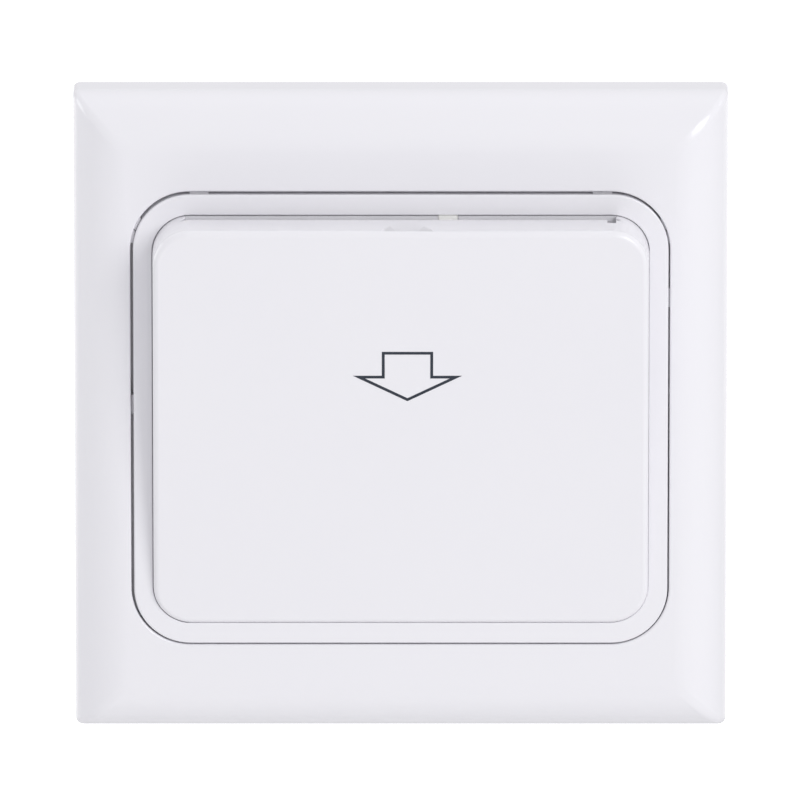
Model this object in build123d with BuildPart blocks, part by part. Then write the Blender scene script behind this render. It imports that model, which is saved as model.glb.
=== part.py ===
from build123d import *
import math
import os

# A hotel key card switch: a wall plate with a wedge-shaped pocket that a card drops into.
# Sizes are in millimetres. The origin is the middle of the plate on the wall, midway between the
# two box screws. +X is right, +Z is up and the front faces -Y. A depth is a distance in front
# of the wall, so whatever lies inside the wall box has a negative depth.

# Gaps and cuts
overrun = 1.0
seat_gap = 0.05
slide_gap = 0.10
loose_gap = 0.30

# Face frame
plate_size = 86.0
plate_corner = 0.8
plate_depth = 11.0
pillow_radius = 7.2
frame_wall = 2.0
hook_width = 8.0
hook_spacing = 40.0
hook_thickness = 1.4
hook_end_depth = 3.2
hook_barb = 1.1
pry_width = 9.0
pry_depth = 1.4

# Ring of the inner panel
insert_side_band = 7.9
insert_end_band = 12.65
insert_width = plate_size - 2 * insert_side_band
insert_height = plate_size - 2 * insert_end_band
insert_corner = 7.4
insert_gap = 0.35
panel_wall = 1.8
shoulder_width = 1.2
shoulder_thickness = 1.4
tab_width = 2.5
tab_spacing = 52.8
left_tab_height = 2.0
right_tab_height = 16.4

# Wedge-shaped pocket cover
cover_side_band = 2.55
cover_end_band = 2.8
cover_width = insert_width - 2 * cover_side_band
cover_height = insert_height - 2 * cover_end_band
cover_corner = 5.0
cover_gap = 0.08
cover_wall = 1.8
cover_front_wall = 2.0
cover_skirt_depth = 6.6
cover_rise_top = 8.6
cover_rise_bottom = 0.3
cover_draft = 1.2
cover_edge_radius = 0.8
barb_length = 6.0
barb_height = 0.8
barb_bite = 0.4
barb_spacing = 30.0
rib_thickness = 1.2
rib_pitch = 14.0
rib_count = 4
rib_lead_in = 1.2
thumb_width = 8.6
thumb_depth = 0.5
thumb_offset = 0.8
thumb_run = 6.0
cover_boss_radius = 2.4
cover_boss_spacing = 46.0
tray_screw_radius = 0.9
tray_screw_length = 3.9

# Card channel: a card is 54 wide and 0.8 thick
channel_width = 56.4
channel_thickness = 1.2
mouth_thickness = 1.65
mouth_lead_in = 0.35
tray_proud = 0.2
tray_thickness = 1.3
tray_rail = 1.2
tray_stop_height = 1.4
tray_bottom = -21.3
flange_depth = 5.2
flange_thickness = 1.3
cheek_drop = 1.0
lever_window_width = 7.6
lever_window_top = -7.2
lever_window_bottom = -15.2

# Mounting plate
base_inset = 3.0
base_size = plate_size - 2 * base_inset
base_corner = 3.0
base_thickness = 2.4
rim_inset = 4.95
rim_size = plate_size - 2 * rim_inset
rim_wall = 1.6
rim_depth = 6.2
ledge_bite = 0.45
ledge_height = 0.9
box_screw_spacing = 60.3
box_slot_width = 4.4
box_slot_length = 7.0
box_head_room = 9.4
box_head_height = 3.2
post_size = 3.0
post_inset = 3.9
post_spacing_x = insert_width - 2 * post_inset
post_spacing_z = 34.0
recess = 0.8

# Rear housing
housing_width = 46.0
housing_height = 50.0
housing_corner = 3.0
housing_wall = 1.8
housing_length = 26.0
boss_radius = 3.2
boss_inset = 5.1
boss_length = 8.9
column_seat = 2.4
vent_width = 1.6
vent_length = 9.0
vent_pitch = 4.0
vent_count = 6

# Circuit board
board_behind = 7.0
board_thickness = 1.6
board_gap = 0.3
lead_width = 0.7
pin_tail = 1.0
pillar_radius = 2.4
pillar_spacing = 36.0
pillar_height = -2.0

# Tapping screws, and the bosses, columns and holes that take them
round_sides = 16
housing_screw_radius = 1.3
housing_screw_length = 10.0
board_screw_radius = 0.95
board_screw_length = 6.0
head_share = 1.85
head_height_share = 0.9
recess_share = 0.5
cross_width_share = 0.28
cross_length_share = 1.3

# Card lever and its pin
pivot_depth = 4.1
pivot_height = 3.0
pin_length = 11.2
lever_pin_radius = 0.8
lever_width = 6.4
hub_radius = 1.5
ear_radius = 1.7
ear_thickness = 1.5
lever_play = 0.06
pin_fit = 0.03
lever_side_gap = 0.15
lever_nose_width = 5.0
lever_pad_width = 3.0
plate_window_drop = 0.3
arm_thickness = 1.6
arm_setback = 0.9
hub_edge_share = 0.8
nose_height = -11.6
nose_flat = 0.8
nose_reach = 2.0
nose_bottom = -14.2
pad_height = 2.0
pad_gap = 0.05

# Snap switch
switch_length = 12.8
switch_width = 5.8
switch_case_height = 6.5
switch_height = -3.5
switch_shift = 1.6
switch_edge = 0.3
switch_pin_pitch = 5.08
plunger_radius = 1.0
plunger_free = 1.4
plunger_inside = 2.6
plunger_dome_share = 0.4

# Locating light
light_offset = 6.2
light_height = 19.2
light_width = 2.5
light_arm = 1.6
led_radius = 1.5
led_length = 3.2
led_rim = 0.3
led_rim_height = 0.8
led_dome_share = 0.45

# Terminal block and its rising clamps
pole_pitch = 9.5
pole_count = 3
block_height = 12.4
block_length = 14.0
block_low = 24.9
chamber_width = 7.5
chamber_wall = 1.8
wire_radius = 1.8
clamp_thread_radius = 1.75
clamp_head_radius = 3.0
clamp_head_height = 2.2
clamp_ledge = 1.0
cage_width = 7.0
cage_end_gap = 0.2
cage_floor = 1.0
cage_roof = 1.4
cage_window = 5.0
cage_cheek = 1.0
bar_width = 3.6
bar_thickness = 1.0
bar_tail_width = 0.9
thread_play = 0.06
clamp_slot = 0.8

# Components on the back of the board: width, height on the board, length behind it, and middle
relay_size = (19.0, 15.5, 15.3)
relay_middle = (-10.3, 8.2)
relay_edge = 0.8
film_size = (13.0, 6.0, 11.5)
film_middle = (8.2, 13.2)
film_edge = 0.5
bridge_size = (8.5, 6.4, 3.2)
bridge_middle = (12.4, -7.0)
electrolytic_radius = 4.0
electrolytic_length = 11.5
electrolytic_middle = (14.8, 4.2)
groove_depth = 0.4
groove_place = 2.6
groove_width = 0.8
component_stand_off = 0.6
fuse_radius = 4.2
fuse_length = 8.0
fuse_middle = (5.2, 4.2)
varistor_radius = 4.5
varistor_thickness = 3.6
varistor_middle = (-15.6, -7.6)
resistor_radius = 1.6
resistor_length = 9.0
resistor_middle = (-5.0, -7.5)
chip_size = (8.7, 3.9, 1.6)
chip_middle = (-11.0, 12.0)
chip_leg = 1.0
chip_leg_width = 0.5
chip_leg_pitch = 1.27
chip_leg_count = 7

# Derived places
ring_opening_width = cover_width + 2 * cover_gap
ring_opening_height = cover_height + 2 * cover_gap
ring_opening_corner = cover_corner + cover_gap
slope = (cover_rise_top - cover_rise_bottom) / cover_height
cover_top = cover_height / 2
tray_top = cover_top - seat_gap
board_front = -board_behind
board_back = board_front - board_thickness
housing_back = -housing_length
boss_x = housing_width / 2 - boss_inset
boss_z = housing_height / 2 - boss_inset
flange_front = flange_depth + flange_thickness


def facing(depth):
    """A sketch plane that faces the room, at a depth in front of the wall."""
    return Plane.XZ.offset(depth)


def side(depth, height):
    """A point of a side view."""
    return (-depth, height)


def tray_face(height):
    """Depth of the tray's front face at a height: it runs parallel to the cover's front."""
    return plate_depth + tray_proud - slope * (cover_top - height)


def cover_face(height):
    """Depth of the cover's sloping front at a height."""
    return plate_depth + cover_rise_bottom + slope * (height + cover_top)


def slab(width, height, corner, back, front, at=(0, 0), mode=Mode.ADD):
    """A rounded rectangle between two depths."""
    with BuildSketch(facing(back)) as outline:
        with Locations(at):
            RectangleRounded(width, height, corner)
    extrude(outline.sketch, amount=front - back, mode=mode)


def block(width, height, back, front, at=(0, 0), mode=Mode.ADD):
    """A square-cornered rectangle between two depths."""
    with BuildSketch(facing(back)) as outline:
        with Locations(at):
            Rectangle(width, height)
    extrude(outline.sketch, amount=front - back, mode=mode)


def peg(radius, back, front, places=((0, 0),), mode=Mode.ADD):
    """Round pegs, or holes, between two depths."""
    with BuildSketch(facing(back)) as outline:
        with Locations(*places):
            Circle(radius)
    extrude(outline.sketch, amount=front - back, mode=mode)


def stud(radius, back, front, places, mode=Mode.ADD):
    """Many-sided studs, or holes, between two depths: plain enough to repeat often."""
    with BuildSketch(facing(back)) as outline:
        with Locations(*places):
            RegularPolygon(radius, round_sides)
    extrude(outline.sketch, amount=front - back, mode=mode)


def leads(size, back, front, places, mode=Mode.ADD):
    """Square leads, or the holes for them, between two depths."""
    with BuildSketch(facing(back)) as outline:
        with Locations(*places):
            Rectangle(size, size)
    extrude(outline.sketch, amount=front - back, mode=mode)


def strip(points, width, middle=0, mode=Mode.ADD):
    """A side view, given by its corners, as wide as told."""
    with BuildSketch(Plane.YZ.offset(middle)) as outline:
        with BuildLine():
            Polyline(*points, close=True)
        make_face()
    extrude(outline.sketch, amount=width / 2, both=True, mode=mode)


def finish(piece, name):
    """Names a finished piece and writes it."""
    piece.part.label = name
    export_step(piece.part, f"parts/{name}.step")


def pillow(size, depth, radius, back):
    """A square block whose four front edges are rounded and meet in mitres."""
    shoulder = depth - radius
    with BuildPart() as shape:
        half = size / 2
        across = Plane(origin=(0, 0, 0), x_dir=(0, 1, 0), z_dir=(0, 0, 1))
        for plane, mode in ((Plane.YZ, Mode.ADD), (across, Mode.INTERSECT)):
            with BuildSketch(plane) as outline:
                with BuildLine():
                    Line(side(back, -half), side(shoulder, -half))
                    RadiusArc(side(shoulder, -half), side(depth, radius - half), radius)
                    Line(side(depth, radius - half), side(depth, half - radius))
                    RadiusArc(side(depth, half - radius), side(shoulder, half), radius)
                    Line(side(shoulder, half), side(back, half))
                    Line(side(back, half), side(back, -half))
                make_face()
            extrude(outline.sketch, amount=half, both=True, mode=mode)
    return shape.part


def tapping_screws(radius, length, seat, places):
    """Pan-head screws driven towards the room, with cross recesses, their heads behind a seat."""
    head_radius = radius * head_share
    head_back = seat - radius * head_height_share
    stud(radius, seat, seat + length, places)
    stud(head_radius, head_back, seat, places)
    for place in places:
        recess_front = head_back + radius * head_height_share * recess_share
        long_way = radius * cross_length_share
        short_way = radius * cross_width_share
        block(long_way, short_way, head_back - overrun, recess_front, place, Mode.SUBTRACT)
        block(short_way, long_way, head_back - overrun, recess_front, place, Mode.SUBTRACT)


os.makedirs("parts", exist_ok=True)


# Face frame: a square pillow, hollow from behind, whose hooks grip the rim of the base
aperture_width = insert_width + 2 * insert_gap
aperture_height = insert_height + 2 * insert_gap
aperture_corner = insert_corner + insert_gap
frame_inside = plate_depth - frame_wall
rim_outside = rim_size / 2
hook_inside = rim_outside + ledge_bite + slide_gap
hook_outside = hook_inside + hook_thickness
hook_barb_front = hook_end_depth + hook_barb

frame_solid = pillow(plate_size, plate_depth, pillow_radius, 0)
frame_hollow = pillow(
    plate_size - 2 * frame_wall, frame_inside, pillow_radius - frame_wall, -overrun
)

with BuildPart() as face_frame:
    add(frame_solid)
    upright_corners = [
        edge
        for edge in face_frame.edges().filter_by(Axis.Y)
        if abs(edge.center().X) > plate_size / 2 - overrun
    ]
    fillet(upright_corners, plate_corner)
    add(frame_hollow, mode=Mode.SUBTRACT)
    slab(
        aperture_width,
        aperture_height,
        aperture_corner,
        -overrun,
        plate_depth + overrun,
        mode=Mode.SUBTRACT,
    )
    for way in (-1, 1):
        hook_view = (
            side(frame_inside, way * hook_inside),
            side(frame_inside, way * hook_outside),
            side(hook_end_depth, way * hook_outside),
            side(hook_end_depth, way * hook_inside),
            side(hook_end_depth + hook_barb / 2, way * (rim_outside + slide_gap)),
            side(hook_barb_front, way * (rim_outside + slide_gap)),
            side(hook_barb_front, way * hook_inside),
        )
        strip(hook_view, hook_width, -hook_spacing / 2)
        strip(hook_view, hook_width, hook_spacing / 2)
    # A notch in the lower edge takes the blade that prises the frame off
    pry_middle = (0, (frame_wall - plate_size) / 2)
    block(pry_width, frame_wall + overrun, -overrun, pry_depth, pry_middle, Mode.SUBTRACT)
finish(face_frame, "face_frame")


# Inner panel: the flat ring, with walls down to the base and a shoulder under the frame
panel_foot = base_thickness + seat_gap
ring_back = plate_depth - panel_wall
shoulder_front = frame_inside - slide_gap
shoulder_back = shoulder_front - shoulder_thickness
tab_front = plate_depth - loose_gap
tab_reach = insert_gap - seat_gap

with BuildPart() as inner_panel:
    slab(insert_width, insert_height, insert_corner, panel_foot, plate_depth)
    slab(
        insert_width + 2 * shoulder_width,
        insert_height + 2 * shoulder_width,
        insert_corner + shoulder_width,
        shoulder_back,
        shoulder_front,
    )
    for middle in (-tab_spacing / 2, tab_spacing / 2):
        top_tab = (middle, insert_height / 2)
        block(tab_width, 2 * tab_reach, shoulder_back, tab_front, top_tab)
    for middle in ((-insert_width / 2, left_tab_height), (insert_width / 2, right_tab_height)):
        block(2 * tab_reach, tab_width, shoulder_back, tab_front, middle)
    slab(
        insert_width - 2 * panel_wall,
        insert_height - 2 * panel_wall,
        insert_corner - panel_wall,
        panel_foot - overrun,
        ring_back,
        mode=Mode.SUBTRACT,
    )
    slab(
        ring_opening_width,
        ring_opening_height,
        ring_opening_corner,
        ring_back - overrun,
        plate_depth + overrun,
        mode=Mode.SUBTRACT,
    )
    # Room for the heads of the box screws
    block(
        insert_width + 2 * overrun,
        box_head_room,
        panel_foot - overrun,
        base_thickness + box_head_height,
        mode=Mode.SUBTRACT,
    )
finish(inner_panel, "inner_panel")


# Pocket cover: a drafted shell cut off by the sloping front, with ribs that guide the card
cover_far = plate_depth + cover_rise_top + 2 * overrun
mouth_back = tray_face(cover_top)
mouth_front = mouth_back + mouth_thickness
mouth_middle = (0, cover_top - cover_wall / 2)
rib_low = tray_bottom + tray_stop_height + loose_gap
rib_high = cover_top - cover_wall
cover_boss_height = -cover_top + cover_wall + cover_boss_radius - seat_gap
cover_boss_places = [
    (way * cover_boss_spacing / 2, cover_boss_height) for way in (-1, 1)
]
tray_screw_seat = flange_depth
tray_half = channel_width / 2 + tray_rail


def drafted_block(width, height, corner, back):
    """A block that narrows towards the room and has its stated size at the ring's face."""
    growth = (plate_depth - back) * math.tan(math.radians(cover_draft))
    with BuildSketch(facing(back)) as outline:
        RectangleRounded(width + 2 * growth, height + 2 * growth, corner + growth)
    extrude(outline.sketch, amount=cover_far - back, taper=cover_draft)


def cut_sloping_front(setback):
    """Takes off all that stands in front of the sloping front, or of a plane behind it."""
    beyond = cover_top + overrun
    strip(
        (
            side(cover_face(-beyond) - setback, -beyond),
            side(cover_face(beyond) - setback, beyond),
            side(cover_far + overrun, beyond),
            side(cover_far + overrun, -beyond),
        ),
        cover_width + 2 * overrun,
        mode=Mode.SUBTRACT,
    )


with BuildPart() as cover_cavity:
    drafted_block(
        cover_width - 2 * cover_wall,
        cover_height - 2 * cover_wall,
        cover_corner - cover_wall,
        cover_skirt_depth - overrun,
    )
    cut_sloping_front(cover_front_wall)

with BuildPart() as pocket_cover:
    drafted_block(cover_width, cover_height, cover_corner, cover_skirt_depth)
    cut_sloping_front(0)
    fillet(pocket_cover.faces().sort_by(Axis.Y)[0].edges(), cover_edge_radius)
    add(cover_cavity.part, mode=Mode.SUBTRACT)
    for index in range(rib_count):
        rib_middle = (index - (rib_count - 1) / 2) * rib_pitch
        rib_view = (
            side(tray_face(rib_low) + channel_thickness, rib_low),
            side(tray_face(rib_high - rib_lead_in) + channel_thickness, rib_high - rib_lead_in),
            side(tray_face(rib_high) + mouth_thickness, rib_high),
            side(cover_face(rib_high) - cover_front_wall / 2, rib_high),
            side(cover_face(rib_low) - cover_front_wall / 2, rib_low),
        )
        strip(rib_view, rib_thickness, rib_middle)
    # The tray's top edge lies in a notch of the top wall, and the card's mouth is in front of it
    block(
        channel_width + 2 * slide_gap,
        cover_wall + 2 * overrun,
        mouth_back - tray_thickness - loose_gap,
        mouth_back,
        mouth_middle,
        Mode.SUBTRACT,
    )
    block(
        channel_width,
        cover_wall + 2 * overrun,
        mouth_back - tray_thickness,
        mouth_front,
        mouth_middle,
        Mode.SUBTRACT,
    )
    strip(
        (
            side(mouth_front, cover_top - mouth_lead_in),
            side(mouth_front + mouth_lead_in, cover_top),
            side(mouth_front + mouth_lead_in, cover_top + overrun),
            side(mouth_front, cover_top + overrun),
        ),
        channel_width,
        mode=Mode.SUBTRACT,
    )
    # A shallow dish in the top edge lets a thumb press the card home
    dish_radius = (thumb_width * thumb_width / 4 + thumb_depth * thumb_depth) / (2 * thumb_depth)
    dish_front = cover_face(cover_top)
    dish_plane = Plane(
        origin=(thumb_offset, -dish_front, cover_top - thumb_depth + dish_radius),
        x_dir=(1, 0, 0),
        z_dir=(0, thumb_run, thumb_depth + seat_gap),
    )
    with BuildSketch(dish_plane.offset(-overrun)) as dish:
        Circle(dish_radius)
    extrude(dish.sketch, amount=thumb_run + overrun, mode=Mode.SUBTRACT)
    # Barbs behind the ring hold the cover, and two bosses take the tray's screws
    barb_front = ring_back - slide_gap
    for way in (-1, 1):
        skirt = way * cover_width / 2
        barb_view = (
            (skirt - way * cover_wall / 2, -barb_front),
            (skirt + way * barb_bite, -barb_front),
            (skirt + way * barb_bite, barb_height / 2 - barb_front),
            (skirt, 2 * barb_height - barb_front),
            (skirt - way * cover_wall / 2, 2 * barb_height - barb_front),
        )
        for height in (-barb_spacing / 2, barb_spacing / 2):
            with BuildSketch(Plane.XY.offset(height)) as barb:
                with BuildLine():
                    Polyline(*barb_view, close=True)
                make_face()
            extrude(barb.sketch, amount=barb_length / 2, both=True)
    boss_front = plate_depth + cover_rise_bottom - cover_front_wall / 2
    stud(cover_boss_radius, flange_front + slide_gap, boss_front, cover_boss_places)
    pilot_front = tray_screw_seat + tray_screw_length + slide_gap
    pilot_radius = tray_screw_radius + seat_gap
    stud(pilot_radius, flange_depth, pilot_front, cover_boss_places, Mode.SUBTRACT)
finish(pocket_cover, "pocket_cover")


# Card tray: the sloping back of the card channel, carried by a flange behind the cover's skirt
def tray_height_at(depth):
    """Height at which the tray's front face has a depth."""
    return cover_top - (plate_depth + tray_proud - depth) / slope


flange_width = insert_width - 2 * panel_wall - 2 * slide_gap
flange_height = insert_height - 2 * panel_wall - 2 * slide_gap
flange_corner = insert_corner - panel_wall - slide_gap
cheek_top = cover_top - cover_wall - cheek_drop
cheek_view = (
    side(flange_depth, cheek_top),
    side(tray_face(cheek_top) + channel_thickness, cheek_top),
    side(flange_front, tray_height_at(flange_front - channel_thickness)),
    side(flange_front, tray_bottom),
    side(tray_face(tray_bottom) - tray_thickness, tray_bottom),
    side(flange_depth, tray_height_at(flange_depth + tray_thickness)),
)
light_low = light_height - light_arm / 2
light_high = light_height + light_arm / 2

with BuildPart() as card_tray:
    slab(flange_width, flange_height, flange_corner, flange_depth, flange_front)
    with BuildSketch(facing(flange_depth - overrun)) as opening:
        with Locations((0, (tray_bottom + cover_top) / 2)):
            Rectangle(channel_width, cover_top - tray_bottom)
    extrude(opening.sketch, amount=flange_thickness + 2 * overrun, mode=Mode.SUBTRACT)
    # Room for the heads of the box screws
    for way in (-1, 1):
        room_width = flange_width / 2 - tray_half
        room_middle = (way * (tray_half + room_width / 2 + overrun / 2), 0)
        block(
            room_width + overrun,
            box_head_room,
            flange_depth - overrun,
            base_thickness + box_head_height + slide_gap,
            room_middle,
            Mode.SUBTRACT,
        )
    for width, top in ((channel_width, tray_top), (2 * tray_half, cheek_top)):
        strip(
            (
                side(tray_face(top), top),
                side(tray_face(tray_bottom), tray_bottom),
                side(tray_face(tray_bottom) - tray_thickness, tray_bottom),
                side(tray_face(top) - tray_thickness, top),
            ),
            width,
        )
    for way in (-1, 1):
        strip(cheek_view, tray_rail, way * (tray_half - tray_rail / 2))
    # The stop that the card's end comes down on
    stop_top = tray_bottom + tray_stop_height
    strip(
        (
            side(tray_face(tray_bottom) - tray_thickness, tray_bottom),
            side(flange_front, tray_bottom),
            side(flange_front, stop_top),
            side(tray_face(stop_top) - tray_thickness, stop_top),
        ),
        2 * tray_half,
    )
    # Windows for the lever's nose and for the light pipe
    window_middle = (0, (lever_window_top + lever_window_bottom) / 2)
    window_height = lever_window_top - lever_window_bottom
    window_back = tray_face(tray_bottom) - tray_thickness
    block(
        lever_window_width,
        window_height,
        window_back,
        flange_front,
        window_middle,
        Mode.SUBTRACT,
    )
    light_slot_low = light_low - slide_gap
    block(
        light_width + 2 * slide_gap,
        cover_top + overrun - light_slot_low,
        flange_front,
        cover_far,
        (light_offset, (cover_top + overrun + light_slot_low) / 2),
        Mode.SUBTRACT,
    )
    hole_radius = tray_screw_radius + slide_gap
    stud(
        hole_radius,
        flange_depth - overrun,
        flange_front + overrun,
        cover_boss_places,
        Mode.SUBTRACT,
    )
finish(card_tray, "card_tray")

with BuildPart() as tray_screws:
    tapping_screws(tray_screw_radius, tray_screw_length, tray_screw_seat, cover_boss_places)
finish(tray_screws, "tray_screws")


# Light pipe: its tip is level with the tray's face in the card's mouth
pipe_end = board_front + led_length + loose_gap

with BuildPart() as light_pipe:
    strip(
        (
            side(tray_face(tray_top), tray_top),
            side(tray_face(light_low), light_low),
            side(pipe_end, light_low),
            side(pipe_end, light_high),
            side(tray_face(light_high) - tray_thickness, light_high),
            side(tray_face(tray_top) - tray_thickness, tray_top),
        ),
        light_width,
        light_offset,
    )
finish(light_pipe, "light_pipe")


# Mounting plate: it is screwed to the wall box, and carries all the rest
boss_places = [(x, z) for x in (-boss_x, boss_x) for z in (-boss_z, boss_z)]
pillar_places = [(way * pillar_spacing / 2, pillar_height) for way in (-1, 1)]
post_places = [
    (x, z)
    for x in (-post_spacing_x / 2, post_spacing_x / 2)
    for z in (-post_spacing_z / 2, post_spacing_z / 2)
]
lever_room = lever_width + 2 * lever_side_gap
ear_middle = lever_room / 2 + ear_thickness / 2

with BuildPart() as mounting_plate:
    slab(base_size, base_size, base_corner, 0, base_thickness)
    slab(rim_size, rim_size, base_corner, base_thickness, rim_depth)
    rim_opening = rim_size - 2 * rim_wall
    slab(
        rim_opening,
        rim_opening,
        base_corner - rim_wall,
        base_thickness,
        rim_depth + overrun,
        mode=Mode.SUBTRACT,
    )
    ledge_back = hook_barb_front + slide_gap
    for x in (-hook_spacing / 2, hook_spacing / 2):
        for way in (-1, 1):
            block(
                hook_width + 2 * loose_gap,
                2 * ledge_bite,
                ledge_back,
                ledge_back + ledge_height,
                (x, way * rim_outside),
            )
    leads(post_size, base_thickness, flange_depth - seat_gap, post_places)
    # The recess behind takes the housing's rim, and bosses and pillars stand in it
    slab(
        housing_width + 2 * slide_gap,
        housing_height + 2 * slide_gap,
        housing_corner + slide_gap,
        -overrun,
        recess,
        mode=Mode.SUBTRACT,
    )
    stud(boss_radius, -boss_length, recess, boss_places)
    stud(pillar_radius, board_front + seat_gap, recess, pillar_places)
    boss_pilot_front = -boss_length + housing_screw_length
    boss_pilot_radius = housing_screw_radius + seat_gap
    stud(boss_pilot_radius, -boss_length - overrun, boss_pilot_front, boss_places, Mode.SUBTRACT)
    pillar_pilot_front = board_back + board_screw_length + slide_gap
    pillar_pilot_radius = board_screw_radius + seat_gap
    stud(pillar_pilot_radius, board_front, pillar_pilot_front, pillar_places, Mode.SUBTRACT)
    # Ears for the lever's pin
    for way in (-1, 1):
        with BuildSketch(Plane.YZ.offset(way * ear_middle)) as ear:
            with Locations(side(pivot_depth, pivot_height)):
                Circle(ear_radius)
            with Locations(side((pivot_depth + recess) / 2, pivot_height)):
                Rectangle(pivot_depth - recess, 2 * ear_radius)
        extrude(ear.sketch, amount=ear_thickness / 2, both=True)
    with BuildSketch(Plane.YZ) as pin_hole:
        with Locations(side(pivot_depth, pivot_height)):
            Circle(lever_pin_radius + pin_fit)
    extrude(pin_hole.sketch, amount=pin_length, both=True, mode=Mode.SUBTRACT)
    # Windows for the lever and for the light pipe
    lever_opening_top = pivot_height - plate_window_drop
    block(
        lever_room,
        lever_opening_top - lever_window_bottom,
        -overrun,
        base_thickness,
        (0, (lever_opening_top + lever_window_bottom) / 2),
        Mode.SUBTRACT,
    )
    block(
        light_width + 2 * loose_gap,
        light_arm + 2 * loose_gap,
        -overrun,
        base_thickness + overrun,
        (light_offset, light_height),
        Mode.SUBTRACT,
    )
    # Slots for the box screws
    with BuildSketch(facing(-overrun)) as box_slots:
        with Locations((-box_screw_spacing / 2, 0), (box_screw_spacing / 2, 0)):
            SlotOverall(box_slot_length, box_slot_width)
    extrude(box_slots.sketch, amount=base_thickness + 2 * overrun, mode=Mode.SUBTRACT)
finish(mounting_plate, "mounting_plate")


# Rear housing: a box with corner columns, vents, and a bay for the terminal block
housing_rim = recess - seat_gap
housing_inside_width = housing_width - 2 * housing_wall
housing_inside_height = housing_height - 2 * housing_wall
block_width = pole_pitch * pole_count
bay_width = block_width + 2 * loose_gap
bay_top = block_height - block_low + loose_gap
bay_front = board_back
bay_bottom = -housing_height / 2 - overrun
head_room_radius = housing_screw_radius * head_share + loose_gap
head_seat = -boss_length - column_seat

with BuildPart() as rear_housing:
    slab(housing_width, housing_height, housing_corner, housing_back, housing_rim)
    slab(
        housing_inside_width,
        housing_inside_height,
        housing_corner - housing_wall,
        housing_back + housing_wall,
        housing_rim + overrun,
        mode=Mode.SUBTRACT,
    )
    bay_wall_height = bay_top + housing_wall + housing_height / 2
    block(
        bay_width + 2 * housing_wall,
        bay_wall_height,
        housing_back,
        bay_front - loose_gap,
        (0, bay_wall_height / 2 - housing_height / 2),
    )
    column_radius = boss_radius + loose_gap
    stud(column_radius, housing_back, -boss_length - seat_gap, boss_places)
    hole_radius = housing_screw_radius + slide_gap
    stud(hole_radius, housing_back - overrun, -boss_length, boss_places, Mode.SUBTRACT)
    stud(head_room_radius, housing_back - overrun, head_seat, boss_places, Mode.SUBTRACT)
    block(
        bay_width,
        bay_top - bay_bottom,
        housing_back - overrun,
        bay_front,
        (0, (bay_top + bay_bottom) / 2),
        Mode.SUBTRACT,
    )
    vent_places = [((index - (vent_count - 1) / 2) * vent_pitch) for index in range(vent_count)]
    for x in vent_places:
        vent_middle = (x, housing_height / 2)
        vent_back = (housing_back - vent_length) / 2
        vent_tall = 2 * housing_wall + overrun
        block(
            vent_width,
            vent_tall,
            vent_back,
            vent_back + vent_length,
            vent_middle,
            Mode.SUBTRACT,
        )
finish(rear_housing, "rear_housing")

with BuildPart() as housing_screws:
    tapping_screws(housing_screw_radius, housing_screw_length - slide_gap, head_seat, boss_places)
finish(housing_screws, "housing_screws")


# Circuit board and the leads that pass through it
def leads_of(middle, size, shares):
    """Places of a component's leads, as shares of its half width and half height."""
    return [
        (middle[0] + x * size[0] / 2, middle[1] + z * size[1] / 2) for x, z in shares
    ]


corner_lead_shares = ((-0.8, -0.8), (-0.8, 0.8), (0.8, -0.8), (0.8, 0.8))
end_lead_shares = ((-0.7, 0), (0.7, 0))
switch_middle = (switch_shift, switch_height)
switch_pin_places = [(switch_shift + way * switch_pin_pitch, switch_height) for way in (-1, 0, 1)]
electrolytic_size = (2 * electrolytic_radius, 2 * electrolytic_radius)
fuse_size = (2 * fuse_radius, 2 * fuse_radius)
varistor_size = (2 * varistor_radius, varistor_thickness)
resistor_size = (resistor_length, 2 * resistor_radius)
relay_leads = leads_of(relay_middle, relay_size, corner_lead_shares)
film_leads = leads_of(film_middle, film_size, end_lead_shares)
bridge_leads = leads_of(bridge_middle, bridge_size, corner_lead_shares)
electrolytic_leads = leads_of(electrolytic_middle, electrolytic_size, end_lead_shares)
fuse_leads = leads_of(fuse_middle, fuse_size, end_lead_shares)
varistor_leads = leads_of(varistor_middle, varistor_size, end_lead_shares)
resistor_leads = leads_of(resistor_middle, resistor_size, end_lead_shares)
all_leads = (
    relay_leads
    + film_leads
    + bridge_leads
    + electrolytic_leads
    + fuse_leads
    + varistor_leads
    + resistor_leads
    + switch_pin_places
)
pole_places = [(index - (pole_count - 1) / 2) * pole_pitch for index in range(pole_count)]
block_top = block_height - block_low
bar_tail_height = block_top - chamber_wall / 2
bar_tail_places = [(x, bar_tail_height) for x in pole_places]

with BuildPart() as pcb:
    board_width = housing_inside_width - 2 * board_gap
    board_height = housing_inside_height - 2 * board_gap
    block(board_width, board_height, board_back, board_front)
    notch_x = boss_x - boss_radius - board_gap
    notch_z = boss_z - boss_radius - board_gap
    for x in (-1, 1):
        for z in (-1, 1):
            block(
                board_width / 2 - notch_x + overrun,
                board_height / 2 - notch_z + overrun,
                board_back - overrun,
                board_front + overrun,
                (
                    x * (notch_x + board_width / 2 + overrun) / 2,
                    z * (notch_z + board_height / 2 + overrun) / 2,
                ),
                Mode.SUBTRACT,
            )
    cut_back = board_back - overrun
    cut_front = board_front + overrun
    lead_hole = lead_width + 2 * slide_gap
    leads(lead_hole, cut_back, cut_front, all_leads, Mode.SUBTRACT)
    tail_hole = bar_tail_width + 2 * slide_gap
    leads(tail_hole, cut_back, cut_front, bar_tail_places, Mode.SUBTRACT)
    stud(board_screw_radius + slide_gap, cut_back, cut_front, pillar_places, Mode.SUBTRACT)
finish(pcb, "pcb")

with BuildPart() as pcb_screws:
    tapping_screws(board_screw_radius, board_screw_length, board_back, pillar_places)
finish(pcb_screws, "pcb_screws")


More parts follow.
